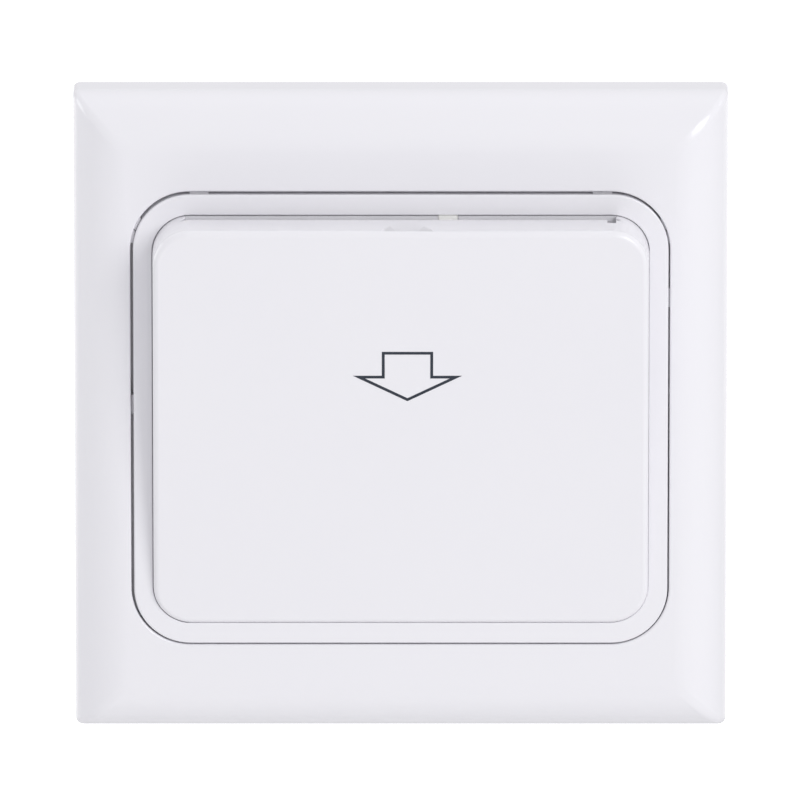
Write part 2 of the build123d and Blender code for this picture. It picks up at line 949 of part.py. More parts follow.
# Card lever: a hub on the pin, an arm, a nose in the channel and a pad on the switch
pad_low = switch_height - pad_height / 2
pad_high = switch_height + pad_height / 2
plunger_tip = board_front + switch_case_height + plunger_free
pad_back = plunger_tip + pad_gap
arm_back = plunger_tip + arm_setback
arm_front = arm_back + arm_thickness
nose_depth = tray_face(nose_height) + nose_reach
arm_view = (
    side(pivot_depth + hub_radius * hub_edge_share, pivot_height - hub_radius * hub_edge_share),
    side(arm_front, lever_window_top),
    side(nose_depth, nose_height),
    side(nose_depth, nose_height - nose_flat),
    side(arm_front, nose_bottom),
    side(arm_back, nose_bottom),
    side(arm_back, pad_low),
    side(pivot_depth - hub_radius, pivot_height),
)
pad_view = (
    side(arm_front, pad_low),
    side(pad_back, pad_low),
    side(pad_back, pad_high),
    side(arm_front, pad_high),
)

with BuildPart() as card_lever:
    with BuildSketch(Plane.YZ) as hub:
        with Locations(side(pivot_depth, pivot_height)):
            Circle(hub_radius)
    extrude(hub.sketch, amount=lever_width / 2, both=True)
    strip(arm_view, lever_nose_width)
    strip(pad_view, lever_pad_width)
    with BuildSketch(Plane.YZ) as hub_bore:
        with Locations(side(pivot_depth, pivot_height)):
            Circle(lever_pin_radius + lever_play)
    extrude(hub_bore.sketch, amount=lever_width, both=True, mode=Mode.SUBTRACT)
finish(card_lever, "card_lever")

with BuildPart() as lever_pin:
    with BuildSketch(Plane.YZ) as pin_end:
        with Locations(side(pivot_depth, pivot_height)):
            Circle(lever_pin_radius)
    extrude(pin_end.sketch, amount=pin_length / 2, both=True)
finish(lever_pin, "lever_pin")


# Snap switch: a case on the board, a plunger that the lever presses, and three pins
case_front = board_front + switch_case_height
plunger_back = case_front - plunger_inside

with BuildPart() as microswitch_case:
    block(switch_length, switch_width, board_front, case_front, switch_middle)
    fillet(microswitch_case.edges().filter_by(Axis.Y), switch_edge)
    bore_back = plunger_back - plunger_free
    bore_place = [(0, switch_height)]
    peg(plunger_radius + slide_gap, bore_back, case_front + overrun, bore_place, Mode.SUBTRACT)
finish(microswitch_case, "microswitch_case")

with BuildPart() as switch_plunger:
    peg(plunger_radius, plunger_back, plunger_tip, [(0, switch_height)])
    tip_edge = switch_plunger.edges().sort_by(Axis.Y)[0]
    chamfer(tip_edge, plunger_radius * plunger_dome_share)
finish(switch_plunger, "switch_plunger")

with BuildPart() as switch_pins:
    leads(lead_width, board_back - pin_tail, board_front, switch_pin_places)
finish(switch_pins, "switch_pins")


# Locating light
with BuildPart() as led:
    place = [(light_offset, light_height)]
    peg(led_radius, board_front, board_front + led_length, place)
    chamfer(led.edges().sort_by(Axis.Y)[0], led_radius * led_dome_share)
    peg(led_radius + led_rim, board_front, board_front + led_rim_height, place)
finish(led, "led")


# Terminal block: three chambers, open to the board, with wire holes below and screws behind
block_middle_height = block_top - block_height / 2
block_back = board_back - block_length
chamber_height = block_height - 2 * chamber_wall
head_floor = block_back + clamp_head_height + loose_gap
chamber_back = head_floor + clamp_ledge
floor_front = board_back - slide_gap
window_front_depth = floor_front - cage_floor
bar_front = window_front_depth - 2 * wire_radius - 2 * slide_gap
bar_back = bar_front - bar_thickness
roof_front = window_front_depth - cage_window
wire_depth = (window_front_depth + bar_front) / 2

with BuildPart() as terminal_block:
    middle = (0, block_middle_height)
    block(block_width, block_height, block_back, board_back, middle)
    for x in pole_places:
        place = (x, block_middle_height)
        block(
            chamber_width,
            chamber_height,
            chamber_back,
            board_back + overrun,
            place,
            Mode.SUBTRACT,
        )
        shank_room = clamp_thread_radius + slide_gap
        peg(shank_room, block_back - overrun, chamber_back + overrun, [place], Mode.SUBTRACT)
        head_room = clamp_head_radius + loose_gap / 2
        peg(head_room, block_back - overrun, head_floor, [place], Mode.SUBTRACT)
        block(
            bar_width + 2 * slide_gap,
            chamber_wall / 2 + bar_tail_width,
            bar_back - slide_gap,
            board_back + overrun,
            (x, bar_tail_height + bar_tail_width / 2 - chamber_wall / 4 - slide_gap),
            Mode.SUBTRACT,
        )
        with BuildSketch(Plane.XY.offset(-block_low - overrun)) as wire_hole:
            with Locations((x, -wire_depth)):
                Circle(wire_radius)
        extrude(wire_hole.sketch, amount=chamber_wall + 2 * overrun, mode=Mode.SUBTRACT)
finish(terminal_block, "terminal_block")

cage_length = chamber_height - 2 * cage_end_gap
bar_low = block_middle_height - chamber_height / 2 + slide_gap

with BuildPart() as contact_bars:
    for x in pole_places:
        bar_length = bar_tail_height - bar_low
        bar_middle = (x, (bar_low + bar_tail_height) / 2)
        block(bar_width, bar_length, bar_back, bar_front, bar_middle)
        tail_middle = (x, bar_tail_height)
        block(bar_tail_width, bar_tail_width, bar_back, board_front + pin_tail, tail_middle)
finish(contact_bars, "contact_bars")

for number, x in enumerate(pole_places, start=1):
    place = (x, block_middle_height)
    with BuildPart() as terminal_cage:
        block(cage_width, cage_length, roof_front - cage_roof, floor_front, place)
        block(
            cage_width - 2 * cage_cheek,
            cage_length + 2 * overrun,
            roof_front,
            window_front_depth,
            place,
            Mode.SUBTRACT,
        )
        thread_room = clamp_thread_radius + thread_play
        peg(thread_room, roof_front - cage_roof - overrun, roof_front, [place], Mode.SUBTRACT)
    finish(terminal_cage, f"terminal_cage_{number}")

    with BuildPart() as terminal_screw:
        head_front = head_floor - seat_gap
        head_back = head_front - clamp_head_height
        peg(clamp_head_radius, head_back, head_front, [place])
        peg(clamp_thread_radius, head_back, bar_back - slide_gap, [place])
        driver_front = head_back + clamp_head_height * recess_share
        long_way = 2 * clamp_head_radius + overrun
        block(long_way, clamp_slot, head_back - overrun, driver_front, place, Mode.SUBTRACT)
    finish(terminal_screw, f"terminal_screw_{number}")


# Components that stand on the back of the board, each with its leads through it
def box_component(name, size, middle, edge, lead_places):
    """A block-shaped component with rounded edges."""
    width, height, length = size
    with BuildPart() as piece:
        block(width, height, board_back - length, board_back, middle)
        fillet(piece.edges().filter_by(Axis.Y), edge)
        leads(lead_width, board_back, board_front + pin_tail, lead_places)
    finish(piece, name)


box_component("relay", relay_size, relay_middle, relay_edge, relay_leads)
box_component("film_capacitor", film_size, film_middle, film_edge, film_leads)
box_component("bridge_rectifier", bridge_size, bridge_middle, film_edge, bridge_leads)

with BuildPart() as electrolytic_capacitor:
    can_back = board_back - electrolytic_length
    groove_back = board_back - groove_place
    groove_front = groove_back + groove_width
    peg(electrolytic_radius, can_back, groove_back, [electrolytic_middle])
    peg(electrolytic_radius - groove_depth, groove_back, groove_front, [electrolytic_middle])
    peg(electrolytic_radius, groove_front, board_back, [electrolytic_middle])
    leads(lead_width, board_back, board_front + pin_tail, electrolytic_leads)
finish(electrolytic_capacitor, "electrolytic_capacitor")

with BuildPart() as fuse:
    peg(fuse_radius, board_back - fuse_length, board_back, [fuse_middle])
    leads(lead_width, board_back, board_front + pin_tail, fuse_leads)
finish(fuse, "fuse")

with BuildPart() as varistor:
    disc_depth = board_back - varistor_radius - component_stand_off
    with BuildSketch(Plane.XY.offset(varistor_middle[1])) as disc:
        with Locations((varistor_middle[0], -disc_depth)):
            Circle(varistor_radius)
    extrude(disc.sketch, amount=varistor_thickness / 2, both=True)
    leads(lead_width, disc_depth, board_front + pin_tail, varistor_leads)
finish(varistor, "varistor")

with BuildPart() as resistor:
    barrel_depth = board_back - resistor_radius - component_stand_off
    with BuildSketch(Plane.YZ.offset(resistor_middle[0])) as barrel:
        with Locations(side(barrel_depth, resistor_middle[1])):
            Circle(resistor_radius)
    extrude(barrel.sketch, amount=resistor_length / 2, both=True)
    leads(lead_width, barrel_depth, board_front + pin_tail, resistor_leads)
finish(resistor, "resistor")

# Timer chip on the front of the board
with BuildPart() as timer_chip:
    width, height, length = chip_size
    block(width, height, board_front, board_front + length, chip_middle)
    for index in range(chip_leg_count):
        leg_x = chip_middle[0] + (index - (chip_leg_count - 1) / 2) * chip_leg_pitch
        leg_middle = (leg_x, chip_middle[1])
        leg_span = height + 2 * chip_leg
        block(chip_leg_width, leg_span, board_front, board_front + chip_leg_width / 2, leg_middle)
finish(timer_chip, "timer_chip")
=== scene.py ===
import math

import bpy
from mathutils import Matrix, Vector


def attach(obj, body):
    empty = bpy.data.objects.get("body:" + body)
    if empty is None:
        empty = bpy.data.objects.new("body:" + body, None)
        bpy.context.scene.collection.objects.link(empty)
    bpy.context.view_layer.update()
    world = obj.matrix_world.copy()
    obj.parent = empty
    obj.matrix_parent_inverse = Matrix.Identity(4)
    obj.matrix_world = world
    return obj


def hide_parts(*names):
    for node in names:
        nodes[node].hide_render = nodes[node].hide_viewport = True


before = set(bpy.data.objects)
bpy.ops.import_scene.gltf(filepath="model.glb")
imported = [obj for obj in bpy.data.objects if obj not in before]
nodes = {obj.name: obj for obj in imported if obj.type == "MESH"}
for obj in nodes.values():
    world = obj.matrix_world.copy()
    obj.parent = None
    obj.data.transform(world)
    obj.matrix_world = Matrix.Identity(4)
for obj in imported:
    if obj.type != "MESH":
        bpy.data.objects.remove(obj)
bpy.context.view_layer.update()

# %% [markdown]
# A hotel key card switch. A card is pushed down into the slot along the top edge of a wedge-shaped
# pocket, and a small lever behind the pocket feels it and switches the room's power on.
# The solids come from the imported model, in metres, with the wall at y = 0 and the room at -Y.
# This scene gives them the look of the real thing: moulded white plastic, with rounded edges, thin
# gaps between the parts, and a printed arrow. Lengths are written in millimetres and multiplied by
# MM where Blender needs metres.

# %% Millimetres
MM = 0.001

# %% [markdown]
# The camera comes first, because every later step is judged through it. The photograph is taken
# straight on and from a little above, with a lens so long that the sides of the plate stay
# parallel. The lens is worked out from the distance and from the width that the picture takes in.

# %% Camera
VIEW_ELEVATION = math.radians(14)
VIEW_DISTANCE = 2.2
VIEW_WIDTH = 0.1053
SENSOR = 36.0
FAR_CLIP = 50
view_middle = Vector((-0.0001, -0.0055, 0.00131))
view_back = Vector((0, -math.cos(VIEW_ELEVATION), math.sin(VIEW_ELEVATION)))

camera_data = bpy.data.cameras.new("camera")
camera_data.sensor_width = SENSOR
camera_data.lens = SENSOR * VIEW_DISTANCE / VIEW_WIDTH
camera_data.clip_end = FAR_CLIP
camera = bpy.data.objects.new("camera", camera_data)
camera.location = view_middle + view_back * VIEW_DISTANCE
camera.rotation_euler = (math.pi / 2 - VIEW_ELEVATION, 0, 0)
bpy.context.scene.collection.objects.link(camera)
bpy.context.scene.camera = camera
print("lens of", round(camera_data.lens), "mm")

# %% [markdown]
# The pieces are modelled with operators, the commands behind Blender's menus. An operator acts on
# whatever is selected, so these helpers select one object at a time, and open and close its edit
# mode. The last one moves an object's place and turn into its mesh, where the export wants them.

# %% Helpers that keep hold of one object at a time
def pick(piece):
    """Selects this object and nothing else."""
    bpy.ops.object.select_all(action="DESELECT")
    piece.select_set(True)
    bpy.context.view_layer.objects.active = piece
    return piece


def named(name):
    """Names the object that the last operator made."""
    piece = bpy.context.object
    piece.name = name
    piece.data.name = name
    return piece


def edit(piece, mode="EDGE"):
    """Opens an object in edit mode with nothing selected."""
    pick(piece)
    bpy.ops.object.mode_set(mode="EDIT")
    bpy.ops.mesh.select_mode(type=mode)
    bpy.ops.mesh.select_all(action="DESELECT")


def done():
    """Goes back to object mode."""
    bpy.ops.object.mode_set(mode="OBJECT")


def settle(piece):
    """Moves an object's place and turn into its mesh."""
    pick(piece)
    bpy.ops.object.transform_apply(location=True, rotation=True, scale=True)
    return piece


# %% [markdown]
# The plate hangs on nothing: the floor is far below it, and so pale that it melts into the
# background. A plane is enough, because only its light is wanted.

# %% Floor
FLOOR_DROP = 1.3
FLOOR_SIZE = 24
bpy.ops.object.select_all(action="DESELECT")
bpy.ops.mesh.primitive_plane_add(size=FLOOR_SIZE, location=(0, 0, -FLOOR_DROP))
floor = named("floor")
settle(floor)
print("floor", FLOOR_DROP, "m below the plate's middle")

# %% [markdown]
# Colours are given as they are read off a screen, in sRGB hex, and turned to linear light by one
# function. One more function adds a node and its links, so that a material reads as a short list.

# %% Colour and node helpers
def linear(hex_colour):
    """sRGB hex to a linear colour with alpha."""
    parts = [int(hex_colour[i:i + 2], 16) / 255 for i in (1, 3, 5)]
    return tuple(c / 12.92 if c <= 0.04045 else ((c + 0.055) / 1.055) ** 2.4 for c in parts) + (1,)


def add_node(material, kind, links=None, **settings):
    """Adds a shader node. Settings are socket or property values, links are its inputs' sources."""
    node = material.node_tree.nodes.new(kind)
    for key, value in settings.items():
        if key in node.inputs:
            node.inputs[key].default_value = value
        else:
            setattr(node, key, value)
    for socket, source in (links or {}).items():
        material.node_tree.links.new(source, node.inputs[socket])
    return node


def new_material(name):
    """An empty material, its shader and its object coordinates."""
    material = bpy.data.materials.new(name)
    material.use_nodes = True
    shader = material.node_tree.nodes["Principled BSDF"]
    where = add_node(material, "ShaderNodeTexCoord").outputs["Object"]
    return material, shader, where


def connect(material, source, node, socket):
    """Links an output to a node's input."""
    material.node_tree.links.new(source, node.inputs[socket])


def per_mm(size):
    """The scale of a noise whose spots are about this many millimetres across."""
    return 1 / (size * MM)


# %% [markdown]
# The plate is moulded ABS. It is white with a cool, slightly lilac cast, and polished in the mould,
# so it has a soft broad gloss. Under the gloss a real moulding is never quite even: the wall sinks
# and swells by a few hundredths over a centimetre or so, and the skin has a faint orange peel.
# Both are a low bump here. The tint varies by about one step of a screen's white.

# %% Polished white ABS
def moulded_plastic(name, pale, deep, roughness, specular, peel=1.0):
    """A moulded plastic with a slow tint, a waver of the surface, and a fine peel."""
    material, shader, where = new_material(name)
    cloud = add_node(material, "ShaderNodeTexNoise", {"Vector": where}, Scale=per_mm(22), Detail=3)
    tint = add_node(material, "ShaderNodeMix", {"Factor": cloud.outputs["Fac"]}, data_type="RGBA")
    tint.inputs[6].default_value = linear(pale)
    tint.inputs[7].default_value = linear(deep)
    connect(material, tint.outputs[2], shader, "Base Color")
    skin = add_node(material, "ShaderNodeTexNoise", {"Vector": where}, Scale=per_mm(0.9), Detail=2)
    gloss = add_node(
        material, "ShaderNodeMapRange", {"Value": skin.outputs["Fac"]},
        **{"To Min": roughness - 0.03, "To Max": roughness + 0.03},
    )
    connect(material, gloss.outputs["Result"], shader, "Roughness")
    waver = add_node(
        material, "ShaderNodeBump", {"Height": cloud.outputs["Fac"]},
        Strength=0.25, Distance=0.03 * MM,
    )
    peeled = add_node(
        material, "ShaderNodeBump", {"Height": skin.outputs["Fac"], "Normal": waver.outputs["Normal"]},
        Strength=0.12 * peel, Distance=0.01 * MM,
    )
    connect(material, peeled.outputs["Normal"], shader, "Normal")
    shader.inputs["IOR"].default_value = 1.54
    shader.inputs["Specular IOR Level"].default_value = specular
    return material


polished_abs = moulded_plastic("polished_white_abs", "#ECEBEF", "#EAE9EE", 0.22, 0.5)
satin_abs = moulded_plastic("satin_white_abs", "#EDECEF", "#EAE9EC", 0.42, 0.45, peel=2.0)
print("plastics:", polished_abs.name, "and", satin_abs.name)

# %% [markdown]
# The floor is painted a matt, slightly cloudy white, and carries light up from below as a white
# table does. Its far part glows, as a backdrop with its own lamps does, so that no horizon shows
# between the floor and the world behind it.

# %% Floor paint
GLOW_START, GLOW_FULL = 3.2, 4.8
GLOW = 0.62

floor_paint, floor_shader, floor_where = new_material("pale_studio_floor")
floor_grain = add_node(
    floor_paint, "ShaderNodeTexNoise", {"Vector": floor_where}, Scale=per_mm(400), Detail=2
)
floor_tint = add_node(
    floor_paint, "ShaderNodeMapRange", {"Value": floor_grain.outputs["Fac"]},
    **{"To Min": 0.92, "To Max": 0.94},
)
connect(floor_paint, floor_tint.outputs["Result"], floor_shader, "Base Color")
floor_shader.inputs["Roughness"].default_value = 0.9
floor_shader.inputs["Emission Color"].default_value = (1, 1, 1, 1)
floor_place = add_node(floor_paint, "ShaderNodeSeparateXYZ", {"Vector": floor_where})
floor_glow = add_node(
    floor_paint, "ShaderNodeMapRange", {"Value": floor_place.outputs["Y"]},
    **{"From Min": GLOW_START, "From Max": GLOW_FULL, "To Min": 0, "To Max": GLOW},
)
connect(floor_paint, floor_glow.outputs["Result"], floor_shader, "Emission Strength")
floor.data.materials.append(floor_paint)
print("floor painted with", floor_paint.name)

# %% [markdown]
# Most of the light is the world's, an even pale dome that leaves white plastic without hard
# shadows. Four soft lights stand round the plate and shape it. The key light stands at the front
# right and above. The left one rakes along the wall and brightens the frame's left curve. The one
# overhead stands a little behind the plate, and the one below in front of it, for the curves at
# the top and the bottom. These two would smear over the gloss, so they don't show in it. The last
# light is small and faint, and draws the bright streak on the upper right corner.

# %% World and lights
WORLD_STRENGTH = 0.69

world = bpy.data.worlds.new("studio")
world.use_nodes = True
sky = world.node_tree.nodes["Background"]
sky.inputs["Color"].default_value = linear("#FDFDFF")
sky.inputs["Strength"].default_value = WORLD_STRENGTH
bpy.context.scene.world = world
bpy.context.scene.view_settings.view_transform = "Standard"


def area_light(name, azimuth, elevation, distance, size, brightness):
    """A square soft light that looks at the plate. Azimuth 0 is straight in front, 90 its right.

    A white surface that faces a light of brightness 1 looks as bright as one under a world of 1."""
    data = bpy.data.lights.new(name, "AREA")
    data.size = size
    data.energy = brightness * math.pi ** 2 * distance ** 2
    lamp = bpy.data.objects.new(name, data)
    turn, rise = math.radians(azimuth), math.radians(elevation)
    way = Vector((math.sin(turn) * math.cos(rise), -math.cos(turn) * math.cos(rise), math.sin(rise)))
    lamp.location = way * distance
    lamp.rotation_euler = (-way).to_track_quat("-Z", "Y").to_euler()
    bpy.context.scene.collection.objects.link(lamp)
    return lamp


key = area_light("key", azimuth=35, elevation=25, distance=1.4, size=0.7, brightness=0.41)
left = area_light("left_side", azimuth=-105, elevation=8, distance=1.4, size=0.8, brightness=0.27)
overhead = area_light("overhead", azimuth=0, elevation=122, distance=1.4, size=1.2, brightness=0.19)
below = area_light("below", azimuth=0, elevation=-60, distance=1.4, size=1.2, brightness=0.18)
rim = area_light("rim", azimuth=96, elevation=34, distance=1.2, size=0.22, brightness=0.025)
for lamp in (overhead, below):
    lamp.visible_glossy = False
for lamp in (key, left, overhead, below, rim):
    print(lamp.name, "light of", round(lamp.data.energy, 2), "watts")

# %% [markdown]
# The plate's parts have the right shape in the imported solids, but their edges are knife sharp, and
# a moulding's edges never are. A sharp edge has no highlight, so it looks like a drawing. Each part
# that shows is therefore copied, its loose triangles are merged, flat triangles are joined to whole
# faces, and the edges that show get the small radius that the mould has. The copy stands for
# the solid, and rides on the same body.

# %% Copies of the solids
MERGE_DISTANCE = 0.002 * MM


def copy_of(node, name):
    """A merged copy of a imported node, free for editing."""
    piece = bpy.data.objects.new(name, nodes[node].data.copy())
    bpy.context.scene.collection.objects.link(piece)
    edit(piece)
    bpy.ops.mesh.select_all(action="SELECT")
    bpy.ops.mesh.remove_doubles(threshold=MERGE_DISTANCE)
    bpy.ops.mesh.dissolve_limited(angle_limit=math.radians(0.2))
    done()
    piece.data.materials.clear()
    return piece


# %% [markdown]
# An edge is worth rounding where its two faces meet at more than a small angle. The normals of the
# faces at each edge are collected first, and then the edges are selected in code, because the
# operator bevels whatever is selected.

# %% The mould's radii
def round_edges(piece, radius, wanted, sharper_than=25, segments=3):
    """Rounds the edges that are sharp and that wanted(a, b, normals) picks."""
    edit(piece)
    done()
    mesh = piece.data
    faces_of = {}
    for face in mesh.polygons:
        for key_pair in face.edge_keys:
            faces_of.setdefault(key_pair, []).append(face.normal.copy())
    chosen = 0
    for edge in mesh.edges:
        normals = faces_of.get(edge.key, [])
        a, b = (mesh.vertices[i].co / MM for i in edge.vertices)
        sharp = len(normals) == 2 and normals[0].angle(normals[1]) > math.radians(sharper_than)
        edge.select = bool(sharp and wanted(a, b, normals))
        chosen += edge.select
    bpy.ops.object.mode_set(mode="EDIT")
    bpy.ops.mesh.bevel(offset=radius * MM, segments=segments, profile=0.5, clamp_overlap=True)
    done()
    print(piece.name, "rounded", chosen, "edges by", radius, "mm")
    return piece


# %% [markdown]
# A finished piece gets smooth shading that breaks at sharp edges. Normals weighted by the size of
# the faces keep large flat faces flat beside small bevels. Then it gets its material and its body,
# and the nodes that it stands for are hidden.

# %% Finishing a piece
def finish_piece(piece, material, body, *replaced, angle=32, slot=None):
    """Smooth shading, material, body, and the nodes that the piece stands for."""
    pick(piece)
    bpy.ops.object.shade_smooth_by_angle(angle=math.radians(angle))
    even = piece.modifiers.new("even", "WEIGHTED_NORMAL")
    even.keep_sharp = True
    bpy.ops.object.modifier_apply(modifier=even.name)
    piece.data.materials.append(material)
    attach(piece, body)
    if replaced:
        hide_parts(*replaced)
    print(piece.name, len(piece.data.polygons), "faces")
    return piece


# %% [markdown]
# Pieces that aren't copies start from a cube between two corners. Its edges are picked by place
# and bevelled, and one shape cuts another or joins it with a boolean.

# %% Cubes, bevels and cuts
NEAR = 0.01


def cube_between(name, low, high):
    """A cube between two corners, given in millimetres."""
    low, high = Vector(low) * MM, Vector(high) * MM
    bpy.ops.object.select_all(action="DESELECT")
    bpy.ops.mesh.primitive_cube_add(size=1, location=(low + high) / 2, scale=high - low)
    return settle(named(name))


def choose(piece, wanted):
    """Selects the edges that wanted(a, b) picks, with their ends in millimetres."""
    edit(piece)
    done()
    for edge in piece.data.edges:
        edge.select = bool(wanted(*(piece.data.vertices[i].co / MM for i in edge.vertices)))
    bpy.ops.object.mode_set(mode="EDIT")


def bevel_chosen(piece, wanted, radius, segments):
    """Bevels the edges that wanted(a, b) picks."""
    choose(piece, wanted)
    bpy.ops.mesh.bevel(offset=radius * MM, segments=segments, profile=0.5, clamp_overlap=True)
    done()
    return piece


def carve(piece, tool, operation="DIFFERENCE"):
    """Cuts one closed mesh with another, or joins it to the piece, and throws the tool away."""
    cutter = piece.modifiers.new("carve", "BOOLEAN")
    cutter.operation = operation
    cutter.solver = "EXACT"
    cutter.object = tool
    pick(piece)
    bpy.ops.object.modifier_apply(modifier=cutter.name)
    bpy.data.objects.remove(tool)
    return piece


# %% [markdown]
# The frame is a square pillow: four quarter-round sides that meet in mitres at the corners, with
# a soft crest along each mitre. Its curve is the largest on the plate and shows every flat, so the
# frame isn't a copy. It is made again from a cube whose front edges are bevelled in twenty steps.
# A smaller cube of the same make hollows it out from behind.

# %% Face frame
PLATE_DEPTH = 11.0
PLATE_HALF = 43.0
PILLOW_RADIUS = 7.2
FRAME_WALL = 2.0
CREST_RADIUS = 0.8
OVERRUN = 1


def pillow_block(name, half, back, front, radius, steps):
    """A square block whose four front edges are quarter rounds."""
    block = cube_between(name, (-half, -front, -half), (half, -back, half))
    is_front = lambda a, b: abs(a.y + front) < NEAR and abs(b.y + front) < NEAR
    return bevel_chosen(block, is_front, radius, steps)


face_frame = pillow_block("face_frame_shell", PLATE_HALF, 0, PLATE_DEPTH, PILLOW_RADIUS, 20)
on_crest = lambda a, b: all(abs(abs(p.x) - abs(p.z)) < NEAR for p in (a, b)) and a.y != b.y
bevel_chosen(face_frame, on_crest, CREST_RADIUS, 4)
hollow = pillow_block(
    "hollow", PLATE_HALF - FRAME_WALL, -OVERRUN, PLATE_DEPTH - FRAME_WALL,
    PILLOW_RADIUS - FRAME_WALL, 10,
)
carve(face_frame, hollow)
print("frame after hollowing:", len(face_frame.data.polygons), "faces")

# %% [markdown]
# A block with rounded corners cuts the window for the ring. On the real plate the ring doesn't sit
# in the middle of it: the gap is about 0.35 mm on the left and above, and half of that on the
# right and below. The window's four sides are therefore given one by one.

# %% Window of the face frame
WINDOW_LOW, WINDOW_HIGH = (-35.45, -30.54), (35.28, 30.73)
WINDOW_CORNER = 7.75

window = cube_between(
    "window", (WINDOW_LOW[0], -PLATE_DEPTH - OVERRUN, WINDOW_LOW[1]),
    (WINDOW_HIGH[0], OVERRUN, WINDOW_HIGH[1]),
)
along_depth = lambda a, b: abs(a.x - b.x) < NEAR and abs(a.z - b.z) < NEAR
bevel_chosen(window, along_depth, WINDOW_CORNER, 24)
carve(face_frame, window)
print("frame after cutting the window:", len(face_frame.data.polygons), "faces")

# %% [markdown]
# Four hooks stand inside the frame's upper and lower walls and catch the rim of the mounting
# plate. Each is a leg with a barb at its end. The barb's leading edge is bevelled, so that it
# rides over the rim, and a union makes leg, barb and frame one moulding.

# %% Hooks of the face frame
HOOK_SPACING = 40.0
HOOK_WIDTH = 8.0
LEG_NEAR, LEG_FAR, BARB_NEAR = 38.6, 40.0, 38.15
LEG_END, BARB_FRONT, LEG_FRONT = 3.2, 4.3, 8.6
BARB_LEAD_IN = 0.4

for x in (-HOOK_SPACING / 2, HOOK_SPACING / 2):
    for way in (-1, 1):
        near, far = sorted((way * LEG_NEAR, way * LEG_FAR))
        leg = cube_between(
            "leg", (x - HOOK_WIDTH / 2, -LEG_FRONT, near), (x + HOOK_WIDTH / 2, -LEG_END, far)
        )
        barb_near, barb_far = sorted((way * BARB_NEAR, way * LEG_FAR))
        barb = cube_between(
            "barb", (x - HOOK_WIDTH / 2, -BARB_FRONT, barb_near),
            (x + HOOK_WIDTH / 2, -LEG_END, barb_far),
        )
        lead_in = lambda a, b: all(
            abs(p.z - way * BARB_NEAR) < NEAR and abs(p.y + LEG_END) < NEAR for p in (a, b)
        )
        bevel_chosen(barb, lead_in, BARB_LEAD_IN, 1)
        carve(leg, barb, "UNION")
        carve(face_frame, leg, "UNION")
print("frame with hooks:", len(face_frame.data.polygons), "faces")

# %% [markdown]
# At the ring's two upper corners the dark gap turns paler for two short stretches, where something
# small bridges it. Two spacers on the frame's wall stand for that at each corner. Each starts as
# a cube on the x axis, is turned round the y axis, and is moved to the middle of the corner.

# %% Corner spacers of the face frame
CORNER_X, CORNER_Z = 27.7, 22.95
SPACER_ANGLES = (12, 26)
SPACER_NEAR, SPACER_FAR, SPACER_HALF, SPACER_FRONT = 7.42, 8.2, 0.85, 10.2

for side in (-1, 1):
    for angle in SPACER_ANGLES:
        spacer = cube_between(
            "spacer", (SPACER_NEAR, -SPACER_FRONT, -SPACER_HALF),
            (SPACER_FAR, -LEG_FRONT, SPACER_HALF),
        )
        edit(spacer)
        bpy.ops.mesh.select_all(action="SELECT")
        bpy.ops.transform.rotate(
            value=math.radians(angle if side > 0 else 180 - angle), orient_axis="Y",
            center_override=(0, 0, 0),
        )
        bpy.ops.transform.translate(value=(side * CORNER_X * MM, 0, CORNER_Z * MM))
        done()
        corner = spacer.data.vertices[0].co / MM
        print("spacer near", round(corner.x, 1), round(corner.z, 1))
        carve(face_frame, spacer, "UNION")

# %% [markdown]
# A notch in the frame's lower edge takes the blade that prises it off. After that the frame is
# whole: points that the cuts left close together are merged, flat faces are joined, and the edges
# round the window get their radius.

# %% Notch and edges of the face frame
PRY_HALF_WIDTH, PRY_DEPTH = 4.5, 1.4
WELD_DISTANCE = 0.003 * MM
FRAME_EDGE = 0.30

notch = cube_between(
    "notch", (-PRY_HALF_WIDTH, -PRY_DEPTH, -PLATE_HALF - OVERRUN),
    (PRY_HALF_WIDTH, OVERRUN, -PLATE_HALF + FRAME_WALL + OVERRUN),
)
carve(face_frame, notch)
edit(face_frame)
bpy.ops.mesh.select_all(action="SELECT")
bpy.ops.mesh.remove_doubles(threshold=WELD_DISTANCE)
bpy.ops.mesh.dissolve_limited(angle_limit=math.radians(0.1))
done()


def on_front(a, b, normals):
    """An edge that lies in the plane of the plate's front."""
    return abs(a.y + PLATE_DEPTH) < 2 * NEAR and abs(b.y + PLATE_DEPTH) < 2 * NEAR


round_edges(face_frame, FRAME_EDGE, on_front)
finish_piece(face_frame, polished_abs, "base", "face_frame", slot="white_plastic")

# %% [markdown]
# The flat ring round the pocket is the front of the inner panel. The joint between ring and cover
# is a dark line above and on the left, but hardly shows on the right and below, where the cover
# leans on the ring. So the hole's right side, its lower right corner and its lower side are each
# moved towards the cover, by less than the 0.08 mm that the solids leave between the two.

# %% Hole of the inner panel
HOLE_X, HOLE_Z, HOLE_CORNER = 32.63, 27.63, 5.08
CLOSER = 0.062
corner_centre = Vector((HOLE_X - HOLE_CORNER, 0, HOLE_CORNER - HOLE_Z))


def on_corner(point):
    """A point of the hole's lower right corner."""
    way = Vector((point.x, 0, point.z)) - corner_centre
    return way.x > 0 and way.z < 0 and abs(way.length - HOLE_CORNER) < NEAR


